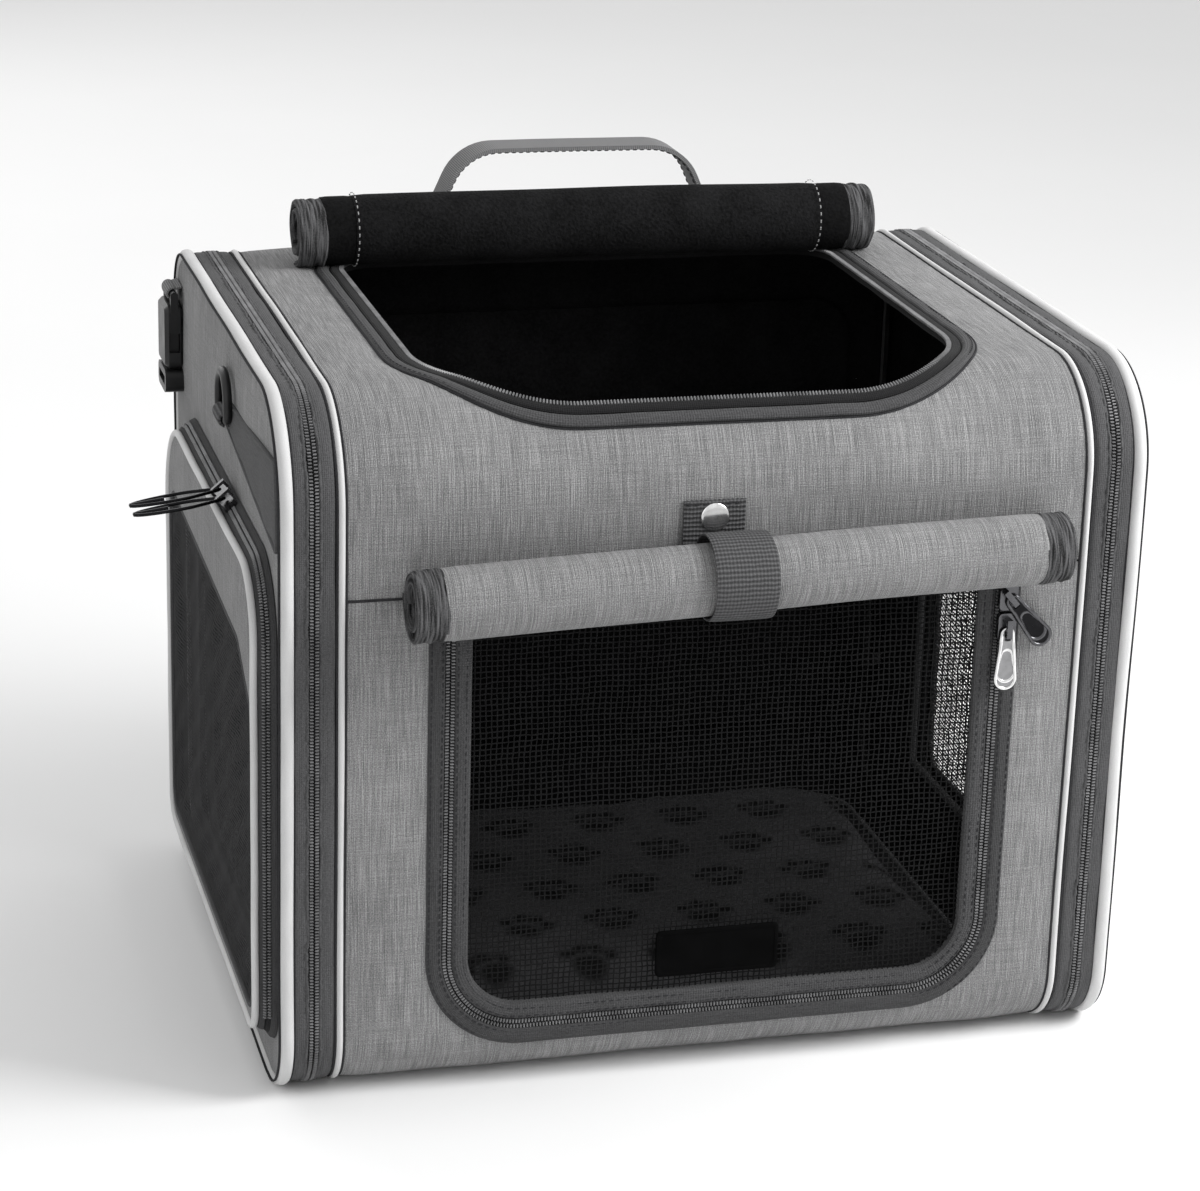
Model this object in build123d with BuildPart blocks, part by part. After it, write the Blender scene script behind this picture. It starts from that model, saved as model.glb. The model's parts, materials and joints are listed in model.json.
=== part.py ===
from build123d import *
import os
from math import cos, hypot, radians, sin, sqrt

# Dog basket for a bicycle's handlebar. The front faces -Y, X runs across, +Z is up, and the
# origin is the middle of the underside. All sizes are in millimetres.

# Body: one padded wall bent round a rounded side outline, closed by an end on each side
width = 360
depth = 295
height = 300
front_top_radius = 42
front_bottom_radius = 30
back_top_radius = 30
back_bottom_radius = 35
wall = 4
seam_drop = 80
seam_height = height - seam_drop
clearance = 0.3
overrun = 5

# Ends: two pipings with a zipped gusset between them
gusset_width = 22
piping_width = 5
piping_proud = 1.8
piping_bevel = 1.4
coil_width = 4
coil_proud = 0.8
hoop_wire = 4

# Front window, open at its top seam, with its net and binding
window_margin = 71
window_width = width - 2 * window_margin
window_low = 37
window_corner = 24
front_shift = 4
binding_width = 9
binding_proud = 0.8
net_thickness = 1
net_margin = 7
net_bar = 3.4
front_net_columns = 15
front_net_rows = 12
patch_width = 54
patch_height = 21
patch_thickness = 1.2
patch_rise = 7
patch_shift = 4

# Rolled flaps
flap_thickness = 2.2
flap_gap = 0.5
flap_half_turns = 5
roll_radius = 16.5
front_roll_overhang = 28.5
front_roll_length = window_width + 2 * front_roll_overhang
roll_over_seam = 8
front_roll_height = seam_height + roll_over_seam
front_tail = 6
top_tail = 12
roll_binding_width = 13

# Strap that holds the front roll
strap_width = 26
strap_thickness = 1.4
strap_start = 26
strap_end = 320
tongue_thickness = 1.2
tongue_rim = 1.2
snap_cap_radius = 6
snap_cap_thickness = 1
snap_cap_bevel = 0.6
snap_lift = 1.9
stud_radius = 2.2
stud_height = 1
socket_play = 1.1

# Top opening
opening_margin = 63
opening_front_gap = 17.5
opening_back_gap = 51.5
opening_width = width - 2 * opening_margin
opening_front = opening_front_gap - depth / 2
opening_back = depth / 2 - opening_back_gap
opening_front_corner = 60
opening_back_corner = 20
top_roll_overhang = 19
top_roll_length = opening_width + 2 * top_roll_overhang
top_roll_lap = 8
top_roll_place = opening_back - top_roll_lap

# Zip sliders and their pulls
slider_width = 8
slider_length = 12
slider_thickness = 2.8
slider_round = 1.8
bridge_width = 2.4
bridge_length = 8
bridge_gap = 2.4
bridge_wall = 1.2
pull_length = 26
pull_neck = 3.2
pull_tip = 4.7
pull_thickness = 1.2
pull_bar = 1.2
pull_slot_width = 3.4
pull_slot_length = 5
pull_hole = 2.6
wire_pull_length = 40
wire_pull_width = 8
wire_pull_thickness = 1.3
slider_roll_gap = 4.5
slider_spacing = 1.5
upper_pull_tilt = 40

# Side doors, hinged along their lower edge
door_front_gap = {"left": 9.5, "right": 29.5}
door_back_gap = {"left": 25.5, "right": 37.5}
door_front = {name: gap - depth / 2 for name, gap in door_front_gap.items()}
door_back = {name: depth / 2 - gap for name, gap in door_back_gap.items()}
door_depth = {"left": 10, "right": 10}
door_flare = {"left": 6, "right": 3}
door_low = 20
door_top_gap = 68
door_high = height - door_top_gap
door_top_corner = 45
door_bottom_corner = 18
door_wall = 3.5
door_piping = 3
door_piping_proud = 1
door_face = 2
door_rim_width = 3
door_band = 26
door_lap = 12
door_net_columns = 6
door_net_rows = 6
door_slider_width = 6.4
door_slider_place = -35
door_slider_run_share = 0.46
door_slider_gap = 0.8
wire_pull_droop = 8

# D-rings and their tabs
ring_wire = 4
ring_radius = 12
ring_leg = 7
ring_place = -24
ring_rise = 32
ring_axis_height = door_high + ring_rise
ring_corner = 3
ring_bevel = 1.1
tab_thickness = 1.5
tab_loop_width = 17
tab_rise = 6
tab_front_drop = 14
tab_front_rise = 20
tab_front_low = ring_axis_height - tab_front_drop
tab_front_high = ring_axis_height + tab_front_rise

# Side-release buckles hung from the back seams
buckle_width = 25
buckle_height = 30
buckle_thickness = 9
buckle_wall = 2
buckle_corner = 4
buckle_bevel = 1.8
buckle_bar = 3.4
buckle_slot = 4.2
buckle_slot_width = 18
buckle_setback = 18.5
buckle_place = depth / 2 - buckle_setback
buckle_top_gap = 19
buckle_axis_height = height - buckle_top_gap
buckle_drop = 5
buckle_seat = 3
buckle_arm = 3
latch_height = 11
prong_length = 17
prong_width = 2.6
prong_lean = 1.9
prong_thickness = 4.2
guide_length = 12
guide_width = 4
buckle_window = 9
latch_play = 0.5
buckle_web_width = 17

# Boards and pad inside
board_thickness = 3
board_margin = 6
board_corner = 20
back_board_low = 42
back_board_top_gap = 38
back_board_high = height - back_board_top_gap
pad_thickness = 18
pad_margin = 5
pad_corner = 22
pad_crown_inset = 85
pad_rise_shares = (0, 0.3, 0.62, 0.88, 1)
pad_inset_shares = (0.05, 0, 0.06, 0.42, 1)

# Carry handle on the top behind the rolled flap
handle_half = 72
handle_rise = 46
handle_lean = 20
handle_bend = 24
handle_width = 20
handle_thickness = 2.6
handle_setback = 27.5
handle_place = depth / 2 - handle_setback
handle_patch_length = 26
handle_patch_depth = 21
handle_patch_thickness = 1.2

# Straps for the handlebar and the head tube
bar_radius = 15.9
bar_margin = 60
bar_place = width / 2 - bar_margin
bar_top_gap = 44
bar_height = height - bar_top_gap
head_radius = 25
head_height = 72
web_width = 25
web_thickness = 2
loop_start = -60
loop_end = 197
flap_start = 204
flap_end = 350
anchor_height = 28
anchor_thickness = 1.5
stub_height = 12
stub_drop = 1

band_half = width / 2 - gusset_width - piping_width / 2
side_face = width / 2 + piping_width / 2 - clearance
front_face = depth / 2
roll_front_y = -front_face - binding_proud - clearance - roll_radius
sides = {"left": -1, "right": 1}

os.makedirs("parts", exist_ok=True)
labels = []


def finish(builder, name):
    """Label a finished piece and write it."""
    builder.part.label = name
    export_step(builder.part, f"parts/{name}.step")
    labels.append(name)


def cross(x, y=0, z=0):
    """Plane across the basket at x, with its own x along Y and its own y along Z."""
    return Plane(origin=(x, y, z), x_dir=(0, 1, 0), z_dir=(1, 0, 0))


def outline(drawn_in):
    """Side outline of the basket, drawn in all round by a distance."""
    half = depth / 2 - drawn_in
    low = max(drawn_in, 0)
    corners = [(-half, low), (-half, height - drawn_in), (half, height - drawn_in), (half, low)]
    radii = [front_bottom_radius, front_top_radius, back_top_radius, back_bottom_radius]
    with BuildSketch() as drawn:
        with BuildLine():
            FilletPolyline(*corners, radius=[radius - drawn_in for radius in radii], close=True)
        make_face()
    return drawn.sketch


def ring(outer, inner, x):
    """Closed ring between two drawn-in outlines, on the plane across the basket at x."""
    with BuildSketch(cross(x)) as drawn:
        add(outline(outer))
        add(outline(inner), mode=Mode.SUBTRACT)
    return drawn.sketch


def window(grown):
    """Front window, open at the seam, grown at its sides and foot by a distance."""
    half = window_width / 2 + grown
    low = window_low - grown
    with BuildSketch() as drawn:
        with BuildLine():
            FilletPolyline(
                (front_shift - half, seam_height), (front_shift - half, low),
                (front_shift + half, low), (front_shift + half, seam_height),
                radius=window_corner + grown,
            )
            Line((front_shift + half, seam_height), (front_shift - half, seam_height))
        make_face()
    return drawn.sketch


def opening(grown):
    """Plan of the top opening, grown all round by a distance."""
    half = opening_width / 2 + grown
    front, back = opening_front - grown, opening_back + grown
    radii = [opening_front_corner, opening_front_corner, opening_back_corner, opening_back_corner]
    with BuildSketch() as drawn:
        with BuildLine():
            FilletPolyline(
                (-half, front), (half, front), (half, back), (-half, back),
                radius=[radius + grown for radius in radii], close=True,
            )
        make_face()
    return drawn.sketch


def door_outline(side, drawn_in):
    """Outline of a side door in the plane across the basket, drawn in by a distance."""
    front, back = door_front[side] + drawn_in, door_back[side] - drawn_in
    bottom, top = door_low + drawn_in, door_high - drawn_in
    radii = [door_bottom_corner, door_top_corner, door_top_corner, door_bottom_corner]
    with BuildSketch() as drawn:
        with BuildLine():
            FilletPolyline(
                (front, bottom), (front, top), (back, top), (back, bottom),
                radius=[radius - drawn_in for radius in radii], close=True,
            )
        make_face()
    return drawn.sketch


def spiral(tail, lying):
    """Section of a rolled flap. Its outer end comes off upwards behind the roll, or back under it if lying."""
    step = (flap_thickness + flap_gap) / 2
    with BuildSketch() as drawn:
        with BuildLine():
            for start in (roll_radius, roll_radius - flap_thickness):
                for turn in range(flap_half_turns):
                    here, there = start - turn * step, start - (turn + 1) * step
                    way = (-1) ** turn
                    middle = (way * (here - there) / 2, way * (here + there) / 2)
                    ThreePointArc((way * here, 0), middle, (-way * there, 0))
            inner_end = roll_radius - flap_half_turns * step
            way = (-1) ** flap_half_turns
            Line((way * inner_end, 0), (way * (inner_end - flap_thickness), 0))
            Polyline(
                (roll_radius, 0), (roll_radius, -tail),
                (roll_radius - flap_thickness, -tail), (roll_radius - flap_thickness, 0),
            )
        make_face()
    if lying:
        return drawn.sketch.mirror(Plane.YZ).rotate(Axis.Z, 90)
    return drawn.sketch.mirror(Plane.XZ)


def arc_band(inner, thickness, start, end):
    """Part of a ring about the origin, between two angles in degrees."""
    outer = inner + thickness
    first, last = radians(start), radians(end)
    middle = (first + last) / 2
    with BuildSketch() as drawn:
        with BuildLine():
            for radius in (inner, outer):
                ThreePointArc(*[(radius * cos(a), radius * sin(a)) for a in (first, middle, last)])
            for a in (first, last):
                Line((inner * cos(a), inner * sin(a)), (outer * cos(a), outer * sin(a)))
        make_face()
    return drawn.sketch


# Wrapped panels
with BuildPart() as front_panel:
    extrude(ring(0, wall, -band_half), amount=2 * band_half)
    split(bisect_by=Plane.XY.offset(seam_height), keep=Keep.BOTTOM)
    split(bisect_by=Plane.XZ.offset(front_face - front_bottom_radius), keep=Keep.TOP)
    with BuildSketch(Plane.XZ.offset(front_face + overrun)):
        add(window(binding_width + coil_width))
    extrude(amount=-2 * overrun - wall, mode=Mode.SUBTRACT)
finish(front_panel, "front_panel")

with BuildPart() as back_panel:
    extrude(ring(0, wall, -band_half), amount=2 * band_half)
    split(bisect_by=Plane.XY.offset(seam_height), keep=Keep.BOTTOM)
    split(bisect_by=Plane.XZ.offset(back_bottom_radius - front_face), keep=Keep.BOTTOM)
finish(back_panel, "back_panel")

with BuildPart() as base_panel:
    extrude(ring(0, wall, -band_half), amount=2 * band_half)
    split(bisect_by=Plane.XY.offset(height / 2), keep=Keep.BOTTOM)
    split(bisect_by=Plane.XZ.offset(front_face - front_bottom_radius), keep=Keep.BOTTOM)
    split(bisect_by=Plane.XZ.offset(back_bottom_radius - front_face), keep=Keep.TOP)
finish(base_panel, "base_panel")

with BuildPart() as top_panel:
    extrude(ring(0, wall, -band_half), amount=2 * band_half)
    split(bisect_by=Plane.XY.offset(seam_height), keep=Keep.TOP)
    with BuildSketch(Plane.XY.offset(seam_height)):
        add(opening(binding_width + coil_width))
    extrude(amount=height, mode=Mode.SUBTRACT)
finish(top_panel, "top_panel")

# Net, binding and zip of the front window
with BuildPart() as front_net:
    with BuildSketch(Plane.XZ.offset(front_face - wall / 2)):
        add(window(0))
        net_rise = seam_height - window_low
        column = (window_width - 2 * net_margin) / front_net_columns
        row = (net_rise - 2 * net_margin) / front_net_rows
        with Locations((front_shift, window_low + net_rise / 2)):
            with GridLocations(column, row, front_net_columns, front_net_rows):
                Rectangle(column - net_bar, row - net_bar, mode=Mode.SUBTRACT)
    extrude(amount=net_thickness)
finish(front_net, "front_net")

with BuildPart() as front_binding:
    with BuildSketch(Plane.XZ.offset(front_face + binding_proud)):
        add(window(binding_width))
        add(window(0), mode=Mode.SUBTRACT)
    extrude(amount=-binding_proud - wall)
finish(front_binding, "front_binding")

with BuildPart() as blank_patch:
    with BuildSketch(Plane.XZ.offset(front_face - wall / 2 + net_thickness)):
        with Locations((patch_shift, window_low + patch_rise + patch_height / 2)):
            Rectangle(patch_width, patch_height)
    extrude(amount=patch_thickness)
finish(blank_patch, "blank_patch")

# Binding of the top opening, which follows the bend at the front
with BuildPart() as top_binding:
    extrude(ring(-binding_proud, wall, -band_half), amount=2 * band_half)
    with BuildSketch(Plane.XY.offset(height / 2)):
        add(opening(binding_width + coil_width))
        add(opening(coil_width), mode=Mode.SUBTRACT)
    extrude(amount=height, mode=Mode.INTERSECT)
finish(top_binding, "top_binding")

# Zip coils: one round each end, one round the window and one along the top opening
with BuildPart() as end_coils:
    for side in sides.values():
        coil_x = side * (width - gusset_width) / 2 - coil_width / 2
        extrude(ring(-coil_proud, wall, coil_x), amount=coil_width)
with BuildPart() as window_coil:
    with BuildSketch(Plane.XZ.offset(front_face + coil_proud)):
        add(window(binding_width + coil_width))
        add(window(binding_width), mode=Mode.SUBTRACT)
    extrude(amount=-coil_proud - wall)
with BuildPart() as opening_coil:
    extrude(ring(-coil_proud, wall, -band_half), amount=2 * band_half)
    with BuildSketch(Plane.XY.offset(height / 2)):
        add(opening(coil_width))
        add(opening(0), mode=Mode.SUBTRACT)
    extrude(amount=height, mode=Mode.INTERSECT)
with BuildPart() as zip_coils:
    add(end_coils.part)
    add(window_coil.part)
    add(opening_coil.part)
finish(zip_coils, "zip_coils")

# Ends: pipings, gussets, side panels and the wire hoops inside them
with BuildPart() as piping:
    for side in sides.values():
        for middle in (width / 2, width / 2 - gusset_width):
            extrude(ring(-piping_proud, wall, side * middle - piping_width / 2), amount=piping_width)
    rims = [face.outer_wire() for face in piping.faces().filter_by(Axis.X)]
    chamfer([edge for rim in rims for edge in rim.edges()], length=piping_bevel)
finish(piping, "piping")

for name, side in sides.items():
    with BuildPart() as gusset:
        strip = (gusset_width - piping_width - coil_width) / 2
        for start in (band_half + piping_width, band_half + piping_width + strip + coil_width):
            first = min(side * start, side * (start + strip))
            extrude(ring(0, wall, first), amount=strip)
    finish(gusset, f"{name}_gusset")

    with BuildPart() as side_panel:
        with BuildSketch(cross(side * (side_face - wall))):
            add(outline(wall))
            add(door_outline(name, door_lap), mode=Mode.SUBTRACT)
        extrude(amount=side * wall)
    finish(side_panel, f"{name}_side_panel")

with BuildPart() as end_hoops:
    for side in sides.values():
        inset = wall + clearance
        start = side * (width - gusset_width) / 2 - hoop_wire / 2
        extrude(ring(inset, inset + hoop_wire, start), amount=hoop_wire)
    chamfer(end_hoops.edges().filter_by(Plane.YZ), length=hoop_wire / 4)
finish(end_hoops, "end_hoops")

# Rolled flaps, and the binding on their ends
top_roll_z = height + binding_proud + clearance + roll_radius
rolls = {
    "front_flap_roll": (front_shift, roll_front_y, front_roll_height, front_roll_length, front_tail, False),
    "top_flap_roll": (0, top_roll_place, top_roll_z, top_roll_length, top_tail, True),
}
for name, (x, y, z, length, tail, lying) in rolls.items():
    with BuildPart() as roll:
        with BuildSketch(cross(x - length / 2 + roll_binding_width, y, z)):
            add(spiral(tail, lying))
        extrude(amount=length - 2 * roll_binding_width)
    finish(roll, name)
with BuildPart() as roll_bindings:
    for x, y, z, length, tail, lying in rolls.values():
        for start in (x - length / 2, x + length / 2 - roll_binding_width):
            with BuildSketch(cross(start, y, z)):
                add(spiral(tail, lying))
            extrude(amount=roll_binding_width)
finish(roll_bindings, "roll_bindings")

# Strap over the front roll: its wrap is fixed, and its tongue lifts off the stud on the panel
strap_inner = roll_radius + clearance
strap_outer = strap_inner + strap_thickness
tongue_back = -front_face - clearance
tongue_front = tongue_back - tongue_thickness
tongue_low = front_roll_height + sqrt(strap_outer**2 - (tongue_front - roll_front_y) ** 2) + clearance
cap_front_gap = tongue_front - snap_cap_thickness - roll_front_y
cap_low = front_roll_height + sqrt(strap_outer**2 - cap_front_gap**2) + snap_lift
snap_height = cap_low + snap_cap_radius
tongue_high = snap_height + snap_cap_radius + tongue_rim
with BuildPart() as roll_strap:
    with BuildSketch(cross(-strap_width / 2, roll_front_y, front_roll_height)):
        add(arc_band(strap_inner, strap_thickness, strap_start, strap_end))
    extrude(amount=strap_width)
finish(roll_strap, "roll_strap")

with BuildPart() as strap_tongue:
    with BuildSketch(Plane.XZ.offset(-tongue_back)):
        with Locations((0, (tongue_low + tongue_high) / 2)):
            Rectangle(strap_width, tongue_high - tongue_low)
        with Locations((0, snap_height)):
            Circle(stud_radius + socket_play, mode=Mode.SUBTRACT)
    extrude(amount=tongue_thickness)
finish(strap_tongue, "strap_tongue")

with BuildPart() as snap_cap:
    with BuildSketch(Plane.XZ.offset(-tongue_front)):
        with Locations((0, snap_height)):
            Circle(snap_cap_radius)
    extrude(amount=snap_cap_thickness)
    chamfer(snap_cap.edges().group_by(Axis.Y)[0], length=snap_cap_bevel)
finish(snap_cap, "snap_cap")

with BuildPart() as snap_stud:
    with BuildSketch(Plane.XZ.offset(front_face)):
        with Locations((0, snap_height)):
            Circle(stud_radius)
    extrude(amount=stud_height)
finish(snap_stud, "snap_stud")


def slider(across, turn):
    """Zip slider on the XY plane, its length along Y, with its bridge turned by an angle."""
    top = Plane.XY.offset(slider_thickness)
    with BuildPart() as body:
        with BuildSketch():
            RectangleRounded(across, slider_length, slider_round)
        extrude(amount=slider_thickness)
        with BuildSketch(top):
            Rectangle(bridge_width, bridge_length, rotation=turn)
        extrude(amount=bridge_gap + bridge_wall)
        with BuildSketch(top):
            Rectangle(bridge_width + overrun, bridge_length - 2 * bridge_wall, rotation=turn)
        extrude(amount=bridge_gap, mode=Mode.SUBTRACT)
    return body.part


def tear_pull():
    """Flat pull whose bar lies on the origin and whose tip points to -Y."""
    with BuildPart() as body:
        with BuildSketch(Plane.XY.offset(-pull_thickness / 2)):
            with Locations((0, pull_bar / 2 - pull_neck)):
                Circle(pull_neck)
            with Locations((0, pull_bar / 2 - pull_length + pull_tip)):
                Circle(pull_tip)
            make_hull()
            with Locations((0, -(pull_bar + pull_slot_length) / 2)):
                Rectangle(pull_slot_width, pull_slot_length, mode=Mode.SUBTRACT)
            with Locations((0, pull_bar / 2 - pull_length + pull_tip)):
                Circle(pull_hole, mode=Mode.SUBTRACT)
        extrude(amount=pull_thickness)
    return body.part


def wire_pull():
    """Long wire loop whose near end lies on the origin and whose far end points to -Y."""
    with BuildPart() as body:
        with BuildSketch(Plane.XY.offset(-wire_pull_thickness / 2)):
            with Locations((0, (wire_pull_thickness - wire_pull_length) / 2)):
                SlotOverall(wire_pull_length, wire_pull_width, rotation=90)
                SlotOverall(
                    wire_pull_length - 2 * wire_pull_thickness, wire_pull_width - 2 * wire_pull_thickness,
                    rotation=90, mode=Mode.SUBTRACT,
                )
        extrude(amount=wire_pull_thickness)
    return body.part


def place(shape, plane, name):
    """Write a shape drawn about the origin, set on a plane."""
    with BuildPart() as placed:
        with Locations(plane.location):
            add(shape)
    finish(placed, name)


# Sliders and pulls of the front window, at the right of its zip
pin_rise = slider_thickness + bridge_gap / 2
front_coil_x = front_shift + window_width / 2 + binding_width + coil_width / 2
front_slider_y = -front_face - coil_proud - clearance
upper_slider_height = front_roll_height - roll_radius - slider_roll_gap
lower_slider_height = upper_slider_height - slider_length - slider_spacing
for name, z, tilt in (("lower", lower_slider_height, 0), ("upper", upper_slider_height, upper_pull_tilt)):
    seat = Plane(origin=(front_coil_x, front_slider_y, z), x_dir=(1, 0, 0), z_dir=(0, -1, 0))
    swung = (cos(radians(tilt)), 0, sin(radians(tilt)))
    pin = Plane(origin=(front_coil_x, front_slider_y - pin_rise, z), x_dir=swung, z_dir=(0, -1, 0))
    place(slider(slider_width, tilt), seat, f"front_slider_{name}")
    place(tear_pull(), pin, f"front_pull_{name}")
    print(name, "front pin", pin.origin, "axis", pin.x_dir)

# Side doors
door_start = side_face + clearance
for name, side in sides.items():
    depth_of, flare = door_depth[name], door_flare[name]
    rim_start = door_start + depth_of - door_piping
    with BuildPart() as door_gusset:
        for inset, mode in ((0, Mode.ADD), (door_wall, Mode.SUBTRACT)):
            with BuildSketch(cross(side * door_start)):
                add(door_outline(name, inset))
            with BuildSketch(cross(side * rim_start)):
                add(door_outline(name, inset + flare))
            loft(ruled=True, mode=mode)
    finish(door_gusset, f"{name}_door_gusset")

    with BuildPart() as door_rim:
        with BuildSketch(cross(side * rim_start)):
            add(door_outline(name, flare - door_piping_proud))
            add(door_outline(name, flare + door_wall), mode=Mode.SUBTRACT)
        extrude(amount=side * door_piping)
    finish(door_rim, f"{name}_door_piping")

    net_inset = flare + door_wall + door_rim_width
    net_low, net_high = door_low + net_inset, door_high - net_inset - door_band
    net_front, net_back = door_front[name] + net_inset, door_back[name] - net_inset
    net_middle = ((net_front + net_back) / 2, (net_low + net_high) / 2)
    with BuildSketch() as net_area:
        add(door_outline(name, net_inset))
        with Locations(net_middle):
            Rectangle(net_back - net_front, net_high - net_low, mode=Mode.INTERSECT)
    with BuildPart() as door_panel:
        with BuildSketch(cross(side * rim_start)):
            add(door_outline(name, flare + door_wall))
            add(net_area.sketch, mode=Mode.SUBTRACT)
        extrude(amount=side * door_face)
    finish(door_panel, f"{name}_door_panel")

    with BuildPart() as door_net:
        with BuildSketch(cross(side * (rim_start + (door_face - net_thickness) / 2))):
            add(net_area.sketch)
            column = (net_back - net_front - 2 * net_margin) / door_net_columns
            row = (net_high - net_low - 2 * net_margin) / door_net_rows
            with Locations(net_middle):
                with GridLocations(column, row, door_net_columns, door_net_rows):
                    Rectangle(column - 2 * net_bar, row - 2 * net_bar, mode=Mode.SUBTRACT)
        extrude(amount=side * net_thickness)
    finish(door_net, f"{name}_door_net")

    run = rim_start - door_start
    slope = hypot(run, flare)
    normal = Vector(side * flare / slope, 0, run / slope)
    for which, way in (("front", -1), ("back", 1)):
        y = door_slider_place + way * (slider_length + door_slider_gap) / 2
        along = Vector(side * run, 0, -flare) * door_slider_run_share
        foot = Vector(side * door_start, y, door_high) + along + normal * clearance
        seat = Plane(origin=foot, x_dir=Vector(0, 1, 0).cross(normal), z_dir=normal)
        pin = foot + normal * pin_rise
        if name == "left":
            droop = radians(wire_pull_droop)
            lie = Plane(origin=pin, x_dir=(0, 1, 0), z_dir=(sin(droop), 0, -cos(droop)))
            place(slider(door_slider_width, 90), seat, f"{name}_door_slider_{which}")
            place(wire_pull(), lie, f"{name}_door_pull_{which}")
        else:
            lie = Plane(origin=pin, x_dir=seat.x_dir * -way, z_dir=normal)
            place(slider(door_slider_width, 0), seat, f"{name}_door_slider_{which}")
            place(tear_pull(), lie, f"{name}_door_pull_{which}")
        print(name, which, "pin", pin, "axis", lie.x_dir)

# D-rings in tabs that run to the front pipings
ring_x = side_face + tab_thickness + clearance + ring_wire / 2
loop_inner = ring_wire / 2 + clearance
with BuildPart() as ring_tabs:
    for side in sides.values():
        with BuildSketch(cross(side * side_face)):
            add(outline(wall))
            with BuildLine():
                Polyline(
                    (ring_place + tab_loop_width / 2, ring_axis_height - tab_rise),
                    (ring_place + tab_loop_width / 2, ring_axis_height + tab_rise),
                    (ring_place - tab_loop_width / 2, ring_axis_height + tab_rise),
                    (-front_face, tab_front_high), (-front_face, tab_front_low), close=True,
                )
            make_face(mode=Mode.INTERSECT)
        extrude(amount=side * tab_thickness)
        with BuildSketch(Plane.XZ.offset(-ring_place - tab_loop_width / 2)):
            with Locations((side * ring_x, ring_axis_height)):
                Circle(loop_inner + tab_thickness)
        extrude(amount=tab_loop_width)
        with BuildSketch(Plane.XZ.offset(-ring_place - tab_loop_width / 2)):
            with Locations((side * ring_x, ring_axis_height)):
                Circle(loop_inner)
        extrude(amount=tab_loop_width, mode=Mode.SUBTRACT)
finish(ring_tabs, "ring_tabs")


def ring_outline(grown):
    """Outline of a D-ring about the middle of its straight side, grown from the middle of its wire."""
    half = ring_radius + grown
    with BuildSketch() as drawn:
        with BuildLine():
            FilletPolyline(
                (half, ring_leg), (half, -grown), (-half, -grown), (-half, ring_leg),
                radius=ring_corner + grown,
            )
            ThreePointArc((-half, ring_leg), (0, ring_leg + half), (half, ring_leg))
        make_face()
    return drawn.sketch


for name, side in sides.items():
    with BuildPart() as d_ring:
        with BuildSketch(cross(side * ring_x - ring_wire / 2, ring_place, ring_axis_height)):
            add(ring_outline(ring_wire / 2))
            add(ring_outline(-ring_wire / 2), mode=Mode.SUBTRACT)
        extrude(amount=ring_wire)
        chamfer(d_ring.edges().filter_by(Plane.YZ), length=ring_bevel)
    finish(d_ring, f"{name}_d_ring")

# Side-release buckles hung in webbing tabs at the back seams
buckle_x = side_face + clearance + buckle_thickness / 2
pin_radius = buckle_bar / 2
housing_top = buckle_axis_height - buckle_drop
housing_low = housing_top - buckle_height
cavity_width = buckle_width - 2 * buckle_wall
cavity_thickness = buckle_thickness - 2 * buckle_wall
with BuildPart() as buckle_tabs:
    for side in sides.values():
        with BuildSketch(Plane.XZ.offset(-buckle_place - buckle_web_width / 2)):
            with Locations((side * buckle_x, buckle_axis_height)):
                Circle(pin_radius + clearance + tab_thickness)
            with Locations((side * (side_face + tab_thickness / 2), buckle_axis_height + buckle_seat)):
                Rectangle(tab_thickness, buckle_seat)
            make_hull()
            with Locations((side * buckle_x, buckle_axis_height)):
                Circle(pin_radius + clearance, mode=Mode.SUBTRACT)
        extrude(amount=buckle_web_width)
finish(buckle_tabs, "buckle_tabs")

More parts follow.
